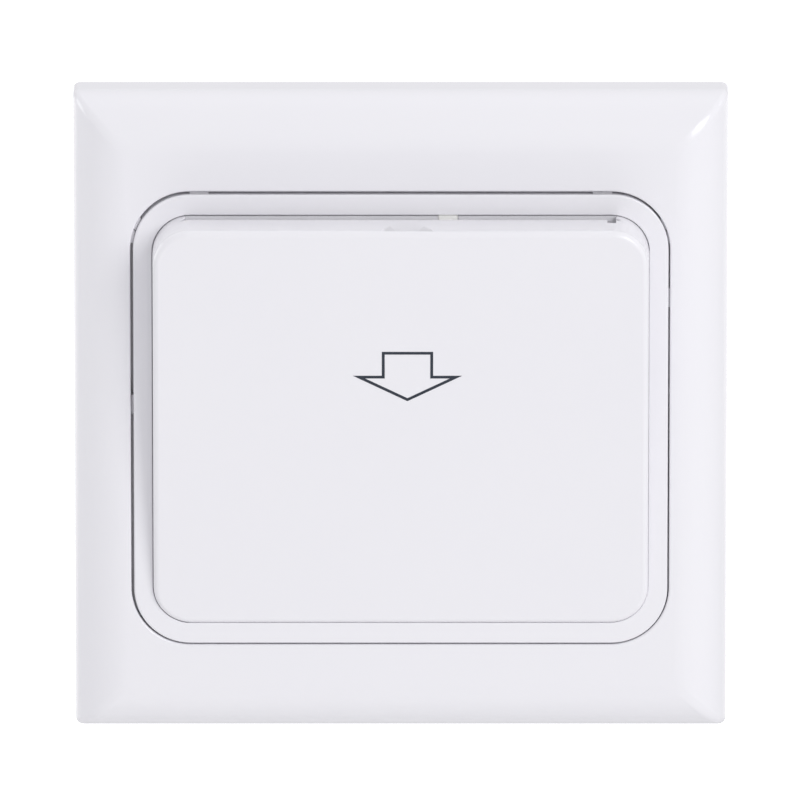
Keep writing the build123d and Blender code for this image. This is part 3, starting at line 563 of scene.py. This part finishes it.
inner_panel = copy_of("inner_panel", "inner_panel_shell")
choose(inner_panel, lambda a, b: abs(a.x - HOLE_X) < NEAR and abs(b.x - HOLE_X) < NEAR)
bpy.ops.transform.translate(value=(-CLOSER * MM, 0, 0))
done()
choose(inner_panel, lambda a, b: abs(a.z + HOLE_Z) < NEAR and abs(b.z + HOLE_Z) < NEAR)
bpy.ops.transform.translate(value=(0, 0, CLOSER * MM))
done()
choose(inner_panel, lambda a, b: on_corner(a) and on_corner(b))
shrink = 1 - CLOSER / HOLE_CORNER
bpy.ops.transform.resize(value=(shrink, 1, shrink), center_override=corner_centre * MM)
done()
print("hole moved", CLOSER, "mm towards the cover on two sides")

# %% [markdown]
# The ring's outer edge has a soft radius. The hole's edge is crisper, because the cover closes it.

# %% Edges of the inner panel
RING_EDGE, HOLE_EDGE = 0.25, 0.12


def on_hole(a, b, normals):
    """An edge of the front that lies round the hole."""
    inside = abs(a.x) < HOLE_X + NEAR and abs(a.z) < HOLE_Z + NEAR
    return inside and on_front(a, b, normals)


def on_ring(a, b, normals):
    """An edge of the front that lies round the outside."""
    return on_front(a, b, normals) and not on_hole(a, b, normals)


round_edges(inner_panel, RING_EDGE, on_ring)
round_edges(inner_panel, HOLE_EDGE, on_hole)
finish_piece(inner_panel, polished_abs, "base", "inner_panel", slot="white_plastic")

# %% [markdown]
# The wedge-shaped cover is right as it comes from the solids, round edges included, so its copy
# gets one thing more: a small dark notch at the right end of the slot, where a cube cuts its rim.
# Its shading breaks only at steeper edges than elsewhere, to stay smooth over the rounded top.

# %% Pocket cover
NOTCH_LEFT, NOTCH_RIGHT = 27.0, 28.15
NOTCH_BACK, NOTCH_FRONT = 12.6, 14.7
NOTCH_LOW, NOTCH_HIGH = 24, 29

pocket_cover = copy_of("pocket_cover", "pocket_cover_shell")
relief = cube_between(
    "relief", (NOTCH_LEFT, -NOTCH_FRONT, NOTCH_LOW), (NOTCH_RIGHT, -NOTCH_BACK, NOTCH_HIGH)
)
carve(pocket_cover, relief)
finish_piece(pocket_cover, polished_abs, "base", "pocket_cover", angle=40, slot="white_plastic")

# %% [markdown]
# Behind the cover stands the card tray. Only its upper edge shows in the slot, so a merged copy
# with clean shading is enough.

# %% Card tray
card_tray = copy_of("card_tray", "card_tray_shell")
finish_piece(card_tray, polished_abs, "base", "card_tray", slot="white_plastic")

# %% [markdown]
# The arrow is printed with slate-coloured ink on the sloping front: an outline about 0.4 mm wide,
# pointing down, the way the card goes. It is drawn flat: a thin cube, drawn to a point below, is
# the head, and another joined to it is the shaft. All faces but the front one are deleted.

# %% Arrow shape
INK_THICKNESS = 0.02
SHAFT_HALF, HEAD_HALF = 3.36, 7.15
ARROW_TOP, ARROW_SHOULDER, ARROW_TIP = 10.80, 7.42, 3.82
TO_A_POINT = 0.0001
FACING_FRONT = -0.9

arrow = cube_between(
    "arrow_print", (-HEAD_HALF, -INK_THICKNESS, ARROW_TIP), (HEAD_HALF, 0, ARROW_SHOULDER)
)
choose(arrow, lambda a, b: abs(a.z - ARROW_TIP) < NEAR and abs(b.z - ARROW_TIP) < NEAR)
bpy.ops.transform.resize(value=(TO_A_POINT, 1, 1), center_override=(0, 0, 0))
bpy.ops.mesh.select_all(action="SELECT")
bpy.ops.mesh.remove_doubles(threshold=MERGE_DISTANCE)
done()
shaft = cube_between(
    "shaft", (-SHAFT_HALF, -INK_THICKNESS, ARROW_SHOULDER - 1), (SHAFT_HALF, 0, ARROW_TOP)
)
carve(arrow, shaft, "UNION")
edit(arrow, "FACE")
bpy.ops.mesh.select_all(action="SELECT")
bpy.ops.mesh.dissolve_limited(angle_limit=math.radians(1))
done()
for face in arrow.data.polygons:
    face.select = face.normal.y > FACING_FRONT
bpy.ops.object.mode_set(mode="EDIT")
bpy.ops.mesh.delete(type="FACE")
done()
print("arrow shape:", len(arrow.data.polygons), "face")

# %% [markdown]
# An inset draws a second outline inside the first, and the outline that is printed is what stays
# when the face within it is deleted. Solidify gives the ink its thickness, and the arrow is then
# tilted by the cover's slope and laid on the middle of its front.

# %% Printed arrow
INK_LINE = 0.38
ARROW_X = 0.88
RISE_TOP, RISE_BOTTOM, COVER_HEIGHT = 8.6, 0.3, 55.1
cover_slope = math.atan((RISE_TOP - RISE_BOTTOM) / COVER_HEIGHT)
cover_middle = PLATE_DEPTH + (RISE_TOP + RISE_BOTTOM) / 2

edit(arrow, "FACE")
bpy.ops.mesh.select_all(action="SELECT")
bpy.ops.mesh.inset(thickness=INK_LINE * MM)
bpy.ops.mesh.delete(type="ONLY_FACE")
done()
solid_ink = arrow.modifiers.new("ink", "SOLIDIFY")
solid_ink.thickness = INK_THICKNESS * MM
solid_ink.offset = 0
pick(arrow)
bpy.ops.object.modifier_apply(modifier=solid_ink.name)
arrow.rotation_euler = (cover_slope, 0, 0)
arrow.location = (ARROW_X * MM, (INK_THICKNESS / 2 - cover_middle) * MM, 0)
settle(arrow)
print("slope of", round(math.degrees(cover_slope), 2), "degrees under the arrow")

# %% [markdown]
# The ink is screen printed, two hundredths of a millimetre thick. It is matt beside the plastic,
# and its slate colour is a little paler where the film is thin.

# %% Ink
ink, ink_shader, ink_where = new_material("slate_ink")
ink_film = add_node(ink, "ShaderNodeTexNoise", {"Vector": ink_where}, Scale=per_mm(0.5), Detail=3)
ink_tint = add_node(ink, "ShaderNodeMix", {"Factor": ink_film.outputs["Fac"]}, data_type="RGBA")
ink_tint.inputs[6].default_value = linear("#222833")
ink_tint.inputs[7].default_value = linear("#2E3542")
connect(ink, ink_tint.outputs[2], ink_shader, "Base Color")
ink_shader.inputs["Roughness"].default_value = 0.55
finish_piece(arrow, ink, "base")

# %% [markdown]
# The metals. The screws are zinc plated steel, blue-white and a little cloudy where the plating
# crept. The clamps and bars are nickel plated brass, warmer, with fine lines left by the
# rolling mill. The components' leads are dull tinned copper.

# %% Metals
def plated_metal(name, bright, dull, roughness, grain, stretch=(1, 1, 1)):
    """A plated metal whose roughness and tint vary over spots of a given size in millimetres."""
    material, shader, where = new_material(name)
    place = add_node(material, "ShaderNodeMapping", {"Vector": where}, Scale=stretch)
    cloud = add_node(
        material, "ShaderNodeTexNoise", {"Vector": place.outputs["Vector"]},
        Scale=per_mm(grain), Detail=4,
    )
    tint = add_node(material, "ShaderNodeMix", {"Factor": cloud.outputs["Fac"]}, data_type="RGBA")
    tint.inputs[6].default_value = linear(bright)
    tint.inputs[7].default_value = linear(dull)
    connect(material, tint.outputs[2], shader, "Base Color")
    gloss = add_node(
        material, "ShaderNodeMapRange", {"Value": cloud.outputs["Fac"]},
        **{"To Min": roughness - 0.08, "To Max": roughness + 0.10},
    )
    connect(material, gloss.outputs["Result"], shader, "Roughness")
    lines = add_node(
        material, "ShaderNodeBump", {"Height": cloud.outputs["Fac"]},
        Strength=0.3, Distance=0.01 * MM,
    )
    connect(material, lines.outputs["Normal"], shader, "Normal")
    shader.inputs["Metallic"].default_value = 1.0
    print("metal", name)
    return material


zinc_steel = plated_metal("zinc_plated_steel", "#C9CCD1", "#AEB2BA", 0.30, 1.2)
bare_steel = plated_metal("ground_steel_pin", "#C4C4C6", "#A9A9AC", 0.22, 0.3, (0.1, 1, 1))
nickel_brass = plated_metal("nickel_plated_brass", "#D3CBB6", "#BDB195", 0.28, 0.5, (1, 0.08, 1))
tinned = plated_metal("tinned_copper", "#C6C7C8", "#A6A8AA", 0.38, 0.4)

# %% [markdown]
# The plastics and resins of the components. Each is a moulded or dipped body whose tint and gloss
# drift over spots of a given size. A component's body and its leads are one solid, so its material
# changes to tinned metal where the lead leaves the body, at a distance behind the wall.

# %% Plastics and resins
LEAD_GREY = "#B9BABC"


def resin(name, pale, deep, roughness, grain, bump=0.2, lead_end=None):
    """A moulded or dipped body. Leads in front of lead_end, in millimetres, turn to metal."""
    material, shader, where = new_material(name)
    cloud = add_node(material, "ShaderNodeTexNoise", {"Vector": where}, Scale=per_mm(grain), Detail=3)
    tint = add_node(material, "ShaderNodeMix", {"Factor": cloud.outputs["Fac"]}, data_type="RGBA")
    tint.inputs[6].default_value = linear(pale)
    tint.inputs[7].default_value = linear(deep)
    gloss = add_node(
        material, "ShaderNodeMapRange", {"Value": cloud.outputs["Fac"]},
        **{"To Min": roughness - 0.05, "To Max": roughness + 0.05},
    )
    bumped = add_node(
        material, "ShaderNodeBump", {"Height": cloud.outputs["Fac"]}, Strength=bump, Distance=0.02 * MM
    )
    connect(material, bumped.outputs["Normal"], shader, "Normal")
    colour, rough = tint.outputs[2], gloss.outputs["Result"]
    if lead_end is not None:
        place = add_node(material, "ShaderNodeSeparateXYZ", {"Vector": where})
        lead = add_node(material, "ShaderNodeMath", {0: place.outputs["Y"]}, operation="LESS_THAN")
        lead.inputs[1].default_value = lead_end * MM
        metal = add_node(material, "ShaderNodeMix", {"Factor": lead.outputs["Value"]}, data_type="RGBA")
        connect(material, colour, metal, 6)
        metal.inputs[7].default_value = linear(LEAD_GREY)
        colour = metal.outputs[2]
        connect(material, lead.outputs["Value"], shader, "Metallic")
    connect(material, colour, shader, "Base Color")
    connect(material, rough, shader, "Roughness")
    print("plastic", name)
    return material


# %% [markdown]
# The board's back face is 8.6 mm behind the wall, and the bodies start just behind it. The dipped
# varistor and the resistor stand a little off the board, so their leads are longer.

# %% Plastics of the components
BODY_START = 8.65
VARISTOR_START = 9.25
RESISTOR_START = 9.15

relay_blue = resin("relay_pbt", "#1F4F9A", "#1A4489", 0.35, 2.0, lead_end=BODY_START)
film_box = resin("film_capacitor_box", "#B9842F", "#AB7727", 0.34, 1.5, lead_end=BODY_START)
black_epoxy = resin("black_epoxy", "#1B1B1D", "#242426", 0.55, 0.25, 0.5)
bridge_epoxy = resin("bridge_epoxy", "#1B1B1D", "#242426", 0.50, 0.25, 0.5, lead_end=BODY_START)
fuse_black = resin("fuse_cap", "#262423", "#312D2B", 0.40, 1.0, lead_end=BODY_START)
varistor_blue = resin("varistor_epoxy", "#23508A", "#1B4278", 0.24, 1.2, 0.6, lead_end=VARISTOR_START)
sleeve = resin("capacitor_sleeve", "#20242B", "#2A2F38", 0.30, 2.0, lead_end=BODY_START)
polyamide = resin("polyamide_block", "#D8D8D4", "#CFCFCA", 0.48, 0.6, 0.4)
switch_black = resin("switch_case_pbt", "#202124", "#292A2D", 0.45, 0.5, 0.4)
acetal = resin("acetal_plunger", "#E4E2DC", "#DAD8D0", 0.38, 0.8)

# %% [markdown]
# The resistor's value is painted round it in bands. A colour ramp with sharp steps, laid along the
# x axis from one end of the body to the other, gives the bands, and the leads are metal again.

# %% Banded resistor
RESISTOR_LEFT, RESISTOR_RIGHT = -9.5, -0.5
LACQUER = "#8A7A5E"
BANDS = [
    (0.20, "#6B3F1E"), (0.27, LACQUER), (0.34, "#141414"), (0.41, LACQUER),
    (0.48, "#8A1F1B"), (0.55, LACQUER), (0.74, "#A88A3A"), (0.81, LACQUER),
]

banded, banded_shader, banded_where = new_material("banded_lacquer")
banded_place = add_node(banded, "ShaderNodeSeparateXYZ", {"Vector": banded_where})
banded_ramp = add_node(banded, "ShaderNodeValToRGB")
along = add_node(
    banded, "ShaderNodeMapRange", {"Value": banded_place.outputs["X"]},
    **{"From Min": RESISTOR_LEFT * MM, "From Max": RESISTOR_RIGHT * MM},
)
connect(banded, along.outputs["Result"], banded_ramp, "Fac")
ramp = banded_ramp.color_ramp
ramp.interpolation = "CONSTANT"
ramp.elements.remove(ramp.elements[-1])
ramp.elements[0].color = linear(LACQUER)
for position, shade in BANDS:
    ramp.elements.new(position).color = linear(shade)
is_lead = add_node(banded, "ShaderNodeMath", {0: banded_place.outputs["Y"]}, operation="LESS_THAN")
is_lead.inputs[1].default_value = RESISTOR_START * MM
banded_mix = add_node(banded, "ShaderNodeMix", {"Factor": is_lead.outputs["Value"]}, data_type="RGBA")
connect(banded, banded_ramp.outputs["Color"], banded_mix, 6)
banded_mix.inputs[7].default_value = linear(LEAD_GREY)
connect(banded, banded_mix.outputs[2], banded_shader, "Base Color")
connect(banded, is_lead.outputs["Value"], banded_shader, "Metallic")
banded_shader.inputs["Roughness"].default_value = 0.28
print("lacquer with", len(BANDS) // 2, "bands")

# %% [markdown]
# Solder mask is a thin glossy green varnish on a glass and epoxy board. The copper tracks under it
# show as lighter lines. A brick pattern, turned into the board's plane, gives lines that run square
# to each other as tracks do: its mortar is the tracks, and its bricks are the bare board between.

# %% Board
TRACK_SPACING, TRACK_LENGTH, TRACK_WIDTH = 3.2, 7.0, 0.35

board_green, board_shader, board_where = new_material("solder_mask_on_glass_epoxy")
turned = add_node(board_green, "ShaderNodeMapping", {"Vector": board_where})
turned.inputs["Rotation"].default_value = (math.pi / 2, 0, 0)
tracks = add_node(
    board_green, "ShaderNodeTexBrick", {"Vector": turned.outputs["Vector"]},
    **{
        "Scale": per_mm(1), "Mortar Size": TRACK_WIDTH, "Mortar Smooth": 0.1,
        "Brick Width": TRACK_LENGTH, "Row Height": TRACK_SPACING,
    },
)
tracks.inputs["Color1"].default_value = linear("#14532F")
tracks.inputs["Color2"].default_value = linear("#175A34")
tracks.inputs["Mortar"].default_value = linear("#2C7A48")
connect(board_green, tracks.outputs["Color"], board_shader, "Base Color")
raised = add_node(
    board_green, "ShaderNodeBump", {"Height": tracks.outputs["Fac"]},
    Strength=0.5, Distance=0.035 * MM,
)
connect(board_green, raised.outputs["Normal"], board_shader, "Normal")
board_shader.inputs["Roughness"].default_value = 0.28
print("board with tracks", TRACK_SPACING, "mm apart")

# %% [markdown]
# Two pieces let light through. The locating light's epoxy is clear. The light pipe in front of it
# is opal polycarbonate, and glows faintly: its tip is the short bright patch in the slot.

# %% Clear plastics
GLOW_OF_THE_PIPE = 0.12


def clear_plastic(name, tint, roughness, clearness):
    """A plastic that lets light through, polished but for a faint unevenness of the gloss."""
    material, shader, where = new_material(name)
    cloud = add_node(material, "ShaderNodeTexNoise", {"Vector": where}, Scale=per_mm(1.5), Detail=2)
    gloss = add_node(
        material, "ShaderNodeMapRange", {"Value": cloud.outputs["Fac"]},
        **{"To Min": roughness, "To Max": roughness + 0.06},
    )
    connect(material, gloss.outputs["Result"], shader, "Roughness")
    shader.inputs["Base Color"].default_value = linear(tint)
    shader.inputs["Transmission Weight"].default_value = clearness
    shader.inputs["IOR"].default_value = 1.58
    return material


opal_polycarbonate = clear_plastic("opal_polycarbonate", "#F4F4F2", 0.25, 0.15)
opal_shader = opal_polycarbonate.node_tree.nodes["Principled BSDF"]
opal_shader.inputs["Emission Color"].default_value = linear("#FFFFFD")
opal_shader.inputs["Emission Strength"].default_value = GLOW_OF_THE_PIPE
led_epoxy = clear_plastic("led_epoxy", "#E4EEF6", 0.06, 0.85)
print("light pipe glows by", GLOW_OF_THE_PIPE)

# %% [markdown]
# The screws are modelled upright on the z axis, with the seat of the head at height 0 and the tip
# down, and turned and placed when they are whole. First come the plain parts.

# %% Screw parts on the z axis
def cylinder(name, radius, low, high, sides=40):
    """A cylinder on the z axis between two heights, in millimetres."""
    bpy.ops.object.select_all(action="DESELECT")
    bpy.ops.mesh.primitive_cylinder_add(
        vertices=sides, radius=radius * MM, depth=(high - low) * MM,
        location=(0, 0, (high + low) / 2 * MM),
    )
    return settle(named(name))


def at_height(height):
    """Picks the edges that lie at a height."""
    return lambda a, b: abs(a.z - height) < NEAR / 2 and abs(b.z - height) < NEAR / 2


def joined(first, *others):
    """Joins pieces into the first."""
    pick(first)
    for other in others:
        other.select_set(True)
    bpy.ops.object.join()
    return first


# %% [markdown]
# The threads are real helices. A circle of three points is a triangle, whose upright side lies half
# as far from its middle as its tip. It is stretched so that the upright side is one pitch long and
# lies on the root, and the tip on the crest. The upright side is then deleted, and the Screw
# modifier turns the other two round the axis, one pitch up a turn.

# %% Helical thread
SIDE_REACH = 0.5


def thread(name, root, crest, pitch, turns, start, steps=16):
    """A helical thread round the z axis that starts at a height and rises."""
    size_along = pitch * MM / math.sqrt(3)
    size_out = (crest - root) * MM / (1 + SIDE_REACH)
    bpy.ops.object.select_all(action="DESELECT")
    bpy.ops.mesh.primitive_circle_add(
        vertices=3, radius=1, rotation=(-math.pi / 2, -math.pi / 2, 0),
        location=(root * MM + size_out * SIDE_REACH, 0, (start + pitch / 2) * MM),
    )
    profile = named(name)
    profile.scale = (size_along, size_out, 1)
    settle(profile)
    choose(profile, lambda a, b: abs(a.x - root) < NEAR and abs(b.x - root) < NEAR)
    bpy.ops.mesh.delete(type="EDGE")
    done()
    helix = profile.modifiers.new("helix", "SCREW")
    helix.screw_offset = pitch * MM
    helix.iterations = turns
    helix.steps = steps
    helix.render_steps = steps
    helix.use_merge_vertices = True
    helix.merge_threshold = MERGE_DISTANCE / 2
    pick(profile)
    bpy.ops.object.modifier_apply(modifier=helix.name)
    edit(profile)
    bpy.ops.mesh.select_all(action="SELECT")
    bpy.ops.mesh.normals_make_consistent(inside=False)
    done()
    return profile


# %% [markdown]
# A pan head gets its dome from a deep bevel of the upper rim, and its cross from two tapered bars
# cut away. A tapping screw has a coarse thread on a thin core, which ends in a blunt point.

# %% Pan-head tapping screw
DOME_SHARE, DOME_STEPS = 0.62, 6
CROSS_REACH, CROSS_WIDTH, CROSS_DEPTH, CROSS_TAPER = 0.65, 0.17, 0.6, 0.6
ROOT_SHARE, PITCH_SHARE, POINT_SHARE, POINT_TAPER = 0.72, 0.85, 1.2, 0.12
CORE_SIDES = 24


def pan_screw(name, radius, length, head_radius, head_height):
    """A pan-head tapping screw. The shares are of its radius, or of its head's size."""
    head = cylinder(name, head_radius, 0, head_height)
    bevel_chosen(head, at_height(head_height), DOME_SHARE * head_height, DOME_STEPS)
    reach, width = CROSS_REACH * head_radius, CROSS_WIDTH * head_radius
    depth = CROSS_DEPTH * head_height
    for long_x, long_y in ((reach, width), (width, reach)):
        bar = cube_between(
            "bar", (-long_x, -long_y, head_height - depth), (long_x, long_y, head_height + OVERRUN)
        )
        choose(bar, at_height(head_height - depth))
        bpy.ops.transform.resize(value=(CROSS_TAPER, CROSS_TAPER, 1), center_override=(0, 0, 0))
        done()
        carve(head, bar)
    root, pitch, tip = ROOT_SHARE * radius, PITCH_SHARE * radius, POINT_SHARE * radius
    turns = int((length - tip) / pitch)
    ridge = thread("ridge", root, radius, pitch, turns, -pitch * turns)
    core = cylinder("core", root, -length + tip, 0, CORE_SIDES)
    point = cylinder("point", root, -length, -length + tip, CORE_SIDES)
    choose(point, at_height(-length))
    bpy.ops.transform.resize(value=(POINT_TAPER, POINT_TAPER, 1), center_override=(0, 0, 0))
    done()
    print(name, "with", turns, "turns of thread")
    return joined(head, ridge, core, point)


# %% [markdown]
# A screw is modelled once, and its copies, each with its own mesh, are laid down behind the wall
# with their heads to the back. Screws that are one node in the solids are joined to one piece.

# %% Placing screws
def set_behind(screw, places, name):
    """Copies of a screw, heads to the back, at places (x, depth behind the wall, z)."""
    copies = []
    for x, y, z in places:
        copy = screw.copy()
        copy.data = screw.data.copy()
        bpy.context.scene.collection.objects.link(copy)
        copy.rotation_euler = (-math.pi / 2, 0, 0)
        copy.location = Vector((x, y, z)) * MM
        copies.append(settle(copy))
    bpy.data.objects.remove(screw)
    piece = joined(*copies) if len(copies) > 1 else copies[0]
    piece.name = piece.data.name = name
    return piece


# %% [markdown]
# Four screws deep in the housing's corners hold it to the base. Two hold the board on the base's
# pillars, and two hold the tray to the cover. All of them are driven from behind.

# %% Screws of the housing, the board and the tray
HOUSING_SCREW_X, HOUSING_SCREW_Z, HOUSING_SEAT = 17.9, 19.9, 11.3
BOARD_SCREW_X, BOARD_SCREW_Z, BOARD_SEAT = 18, -2, 8.6
TRAY_SCREW_X, TRAY_SCREW_Z, TRAY_SEAT = 23, -23.4, -5.2

screw = pan_screw("housing_screw", radius=1.3, length=9.9, head_radius=2.4, head_height=1.17)
places = [
    (x * HOUSING_SCREW_X, HOUSING_SEAT, z * HOUSING_SCREW_Z) for x in (-1, 1) for z in (-1, 1)
]
housing_screws = set_behind(screw, places, "housing_screws_threaded")
finish_piece(housing_screws, zinc_steel, "base", "housing_screws", slot="steel")

screw = pan_screw("board_screw", radius=0.95, length=6.0, head_radius=1.75, head_height=0.86)
places = [(x * BOARD_SCREW_X, BOARD_SEAT, BOARD_SCREW_Z) for x in (-1, 1)]
board_screws = set_behind(screw, places, "pcb_screws_threaded")
finish_piece(board_screws, zinc_steel, "base", "pcb_screws", slot="steel")

screw = pan_screw("tray_screw", radius=0.9, length=3.9, head_radius=1.66, head_height=0.81)
places = [(x * TRAY_SCREW_X, TRAY_SEAT, TRAY_SCREW_Z) for x in (-1, 1)]
tray_screws = set_behind(screw, places, "tray_screws_threaded")
finish_piece(tray_screws, zinc_steel, "base", "tray_screws", slot="steel")

# %% [markdown]
# The three screws of the wire clamps are machine screws: a straight-sided cheese head with one
# slot, and a fine thread as far as the end. Each turns on its own axis, so each rides on the body
# of its own screw instead of on the base.

# %% Clamp screws
SLOT_WIDTH, SLOT_DEPTH = 0.8, 1.2
HEAD_EDGE, SEAT_EDGE, END_EDGE = 0.3, 0.1, 0.25
CLAMP_PITCH, CLAMP_ROOT_SHARE = 0.6, 0.84
POLE_PITCH, CLAMP_SEAT, CLAMP_Z = 9.5, 20.15, -18.7


def clamp_screw(name, radius, length, head_radius, head_height):
    """A slotted cheese-head machine screw on the z axis, its seat at height 0."""
    head = cylinder(name, head_radius, 0, head_height, 48)
    bevel_chosen(head, at_height(head_height), HEAD_EDGE, 4)
    bevel_chosen(head, at_height(0), SEAT_EDGE, 2)
    slot = cube_between(
        "slot", (-head_radius - OVERRUN, -SLOT_WIDTH / 2, head_height - SLOT_DEPTH),
        (head_radius + OVERRUN, SLOT_WIDTH / 2, head_height + OVERRUN),
    )
    carve(head, slot)
    root = CLAMP_ROOT_SHARE * radius
    turns = int(length / CLAMP_PITCH) - 1
    ridge = thread("ridge", root, radius, CLAMP_PITCH, turns, -CLAMP_PITCH * turns, 20)
    core = cylinder("core", root, -length, 0, 32)
    bevel_chosen(core, at_height(-length), END_EDGE, 1)
    print(name, "with", turns, "turns of thread")
    return joined(head, ridge, core)


for pole in (1, 2, 3):
    screw = clamp_screw("clamp_screw", radius=1.75, length=5.55, head_radius=3.0, head_height=2.2)
    place = ((pole - 2) * POLE_PITCH, CLAMP_SEAT, CLAMP_Z)
    screw = set_behind(screw, [place], f"clamp_screw_{pole}")
    finish_piece(screw, zinc_steel, f"terminal_screw_{pole}", f"terminal_screw_{pole}", slot="steel")

# %% [markdown]
# The base, the housing and the terminal block are seen from behind and from the sides. They are
# copies too, and the edges of their outer faces get the mould's radius: on the base the edge that
# lies on the wall, on the housing the outline of its back, and on the block its back face.

# %% Base, housing and terminal block
HOUSING_BACK, BLOCK_BACK = 26.0, 22.6
BASE_EDGE, HOUSING_EDGE, BLOCK_EDGE = 0.25, 0.4, 0.2
BASE_OUTER = 36
HOUSING_X, HOUSING_Z, HOUSING_CORNER = 22.9, 24.9, 3


def on_depth(depth):
    """Picks the edges that lie at one distance behind the wall."""
    return lambda a, b, normals: abs(a.y - depth) < 2 * NEAR and abs(b.y - depth) < 2 * NEAR


def on_outline(point):
    """A point of the housing's outline, its rounded corners included."""
    over_x, over_z = abs(point.x) - HOUSING_X, abs(point.z) - HOUSING_Z
    return over_x > 0 or over_z > 0 or (over_x > -HOUSING_CORNER and over_z > -HOUSING_CORNER)


mounting_plate = copy_of("mounting_plate", "mounting_plate_shell")
on_wall = on_depth(0)
round_edges(
    mounting_plate, BASE_EDGE,
    lambda a, b, n: on_wall(a, b, n) and max(abs(a.x), abs(a.z)) > BASE_OUTER,
)
finish_piece(mounting_plate, satin_abs, "base", "mounting_plate", slot="inner_plastic")
rear_housing = copy_of("rear_housing", "rear_housing_shell")
on_back = on_depth(HOUSING_BACK)
round_edges(
    rear_housing, HOUSING_EDGE,
    lambda a, b, n: on_back(a, b, n) and on_outline(a) and on_outline(b),
)
finish_piece(rear_housing, satin_abs, "base", "rear_housing", slot="inner_plastic")
terminal_block = copy_of("terminal_block", "terminal_block_shell")
round_edges(terminal_block, BLOCK_EDGE, on_depth(BLOCK_BACK))
finish_piece(terminal_block, polyamide, "base", "terminal_block", slot="terminal_plastic")

# %% [markdown]
# The other solids have the right shape, and most are closed in by the housing. They stay as they
# are, and each gets the finish of the real part in place of its plain colour.

# %% Materials of the other solids
finishes = {
    "light_pipe": opal_polycarbonate, "led": led_epoxy, "pcb": board_green, "card_lever": satin_abs,
    "lever_pin": bare_steel, "microswitch_case": switch_black, "switch_plunger": acetal,
    "switch_pins": tinned, "contact_bars": nickel_brass, "terminal_cage_1": nickel_brass,
    "terminal_cage_2": nickel_brass, "terminal_cage_3": nickel_brass, "relay": relay_blue,
    "film_capacitor": film_box, "electrolytic_capacitor": sleeve, "varistor": varistor_blue,
    "fuse": fuse_black, "bridge_rectifier": bridge_epoxy, "resistor": banded,
    "timer_chip": black_epoxy,
}
for name, material in finishes.items():
    for number in range(len(nodes[name].data.materials)):
        nodes[name].data.materials[number] = material
    print(name, "is", material.name)
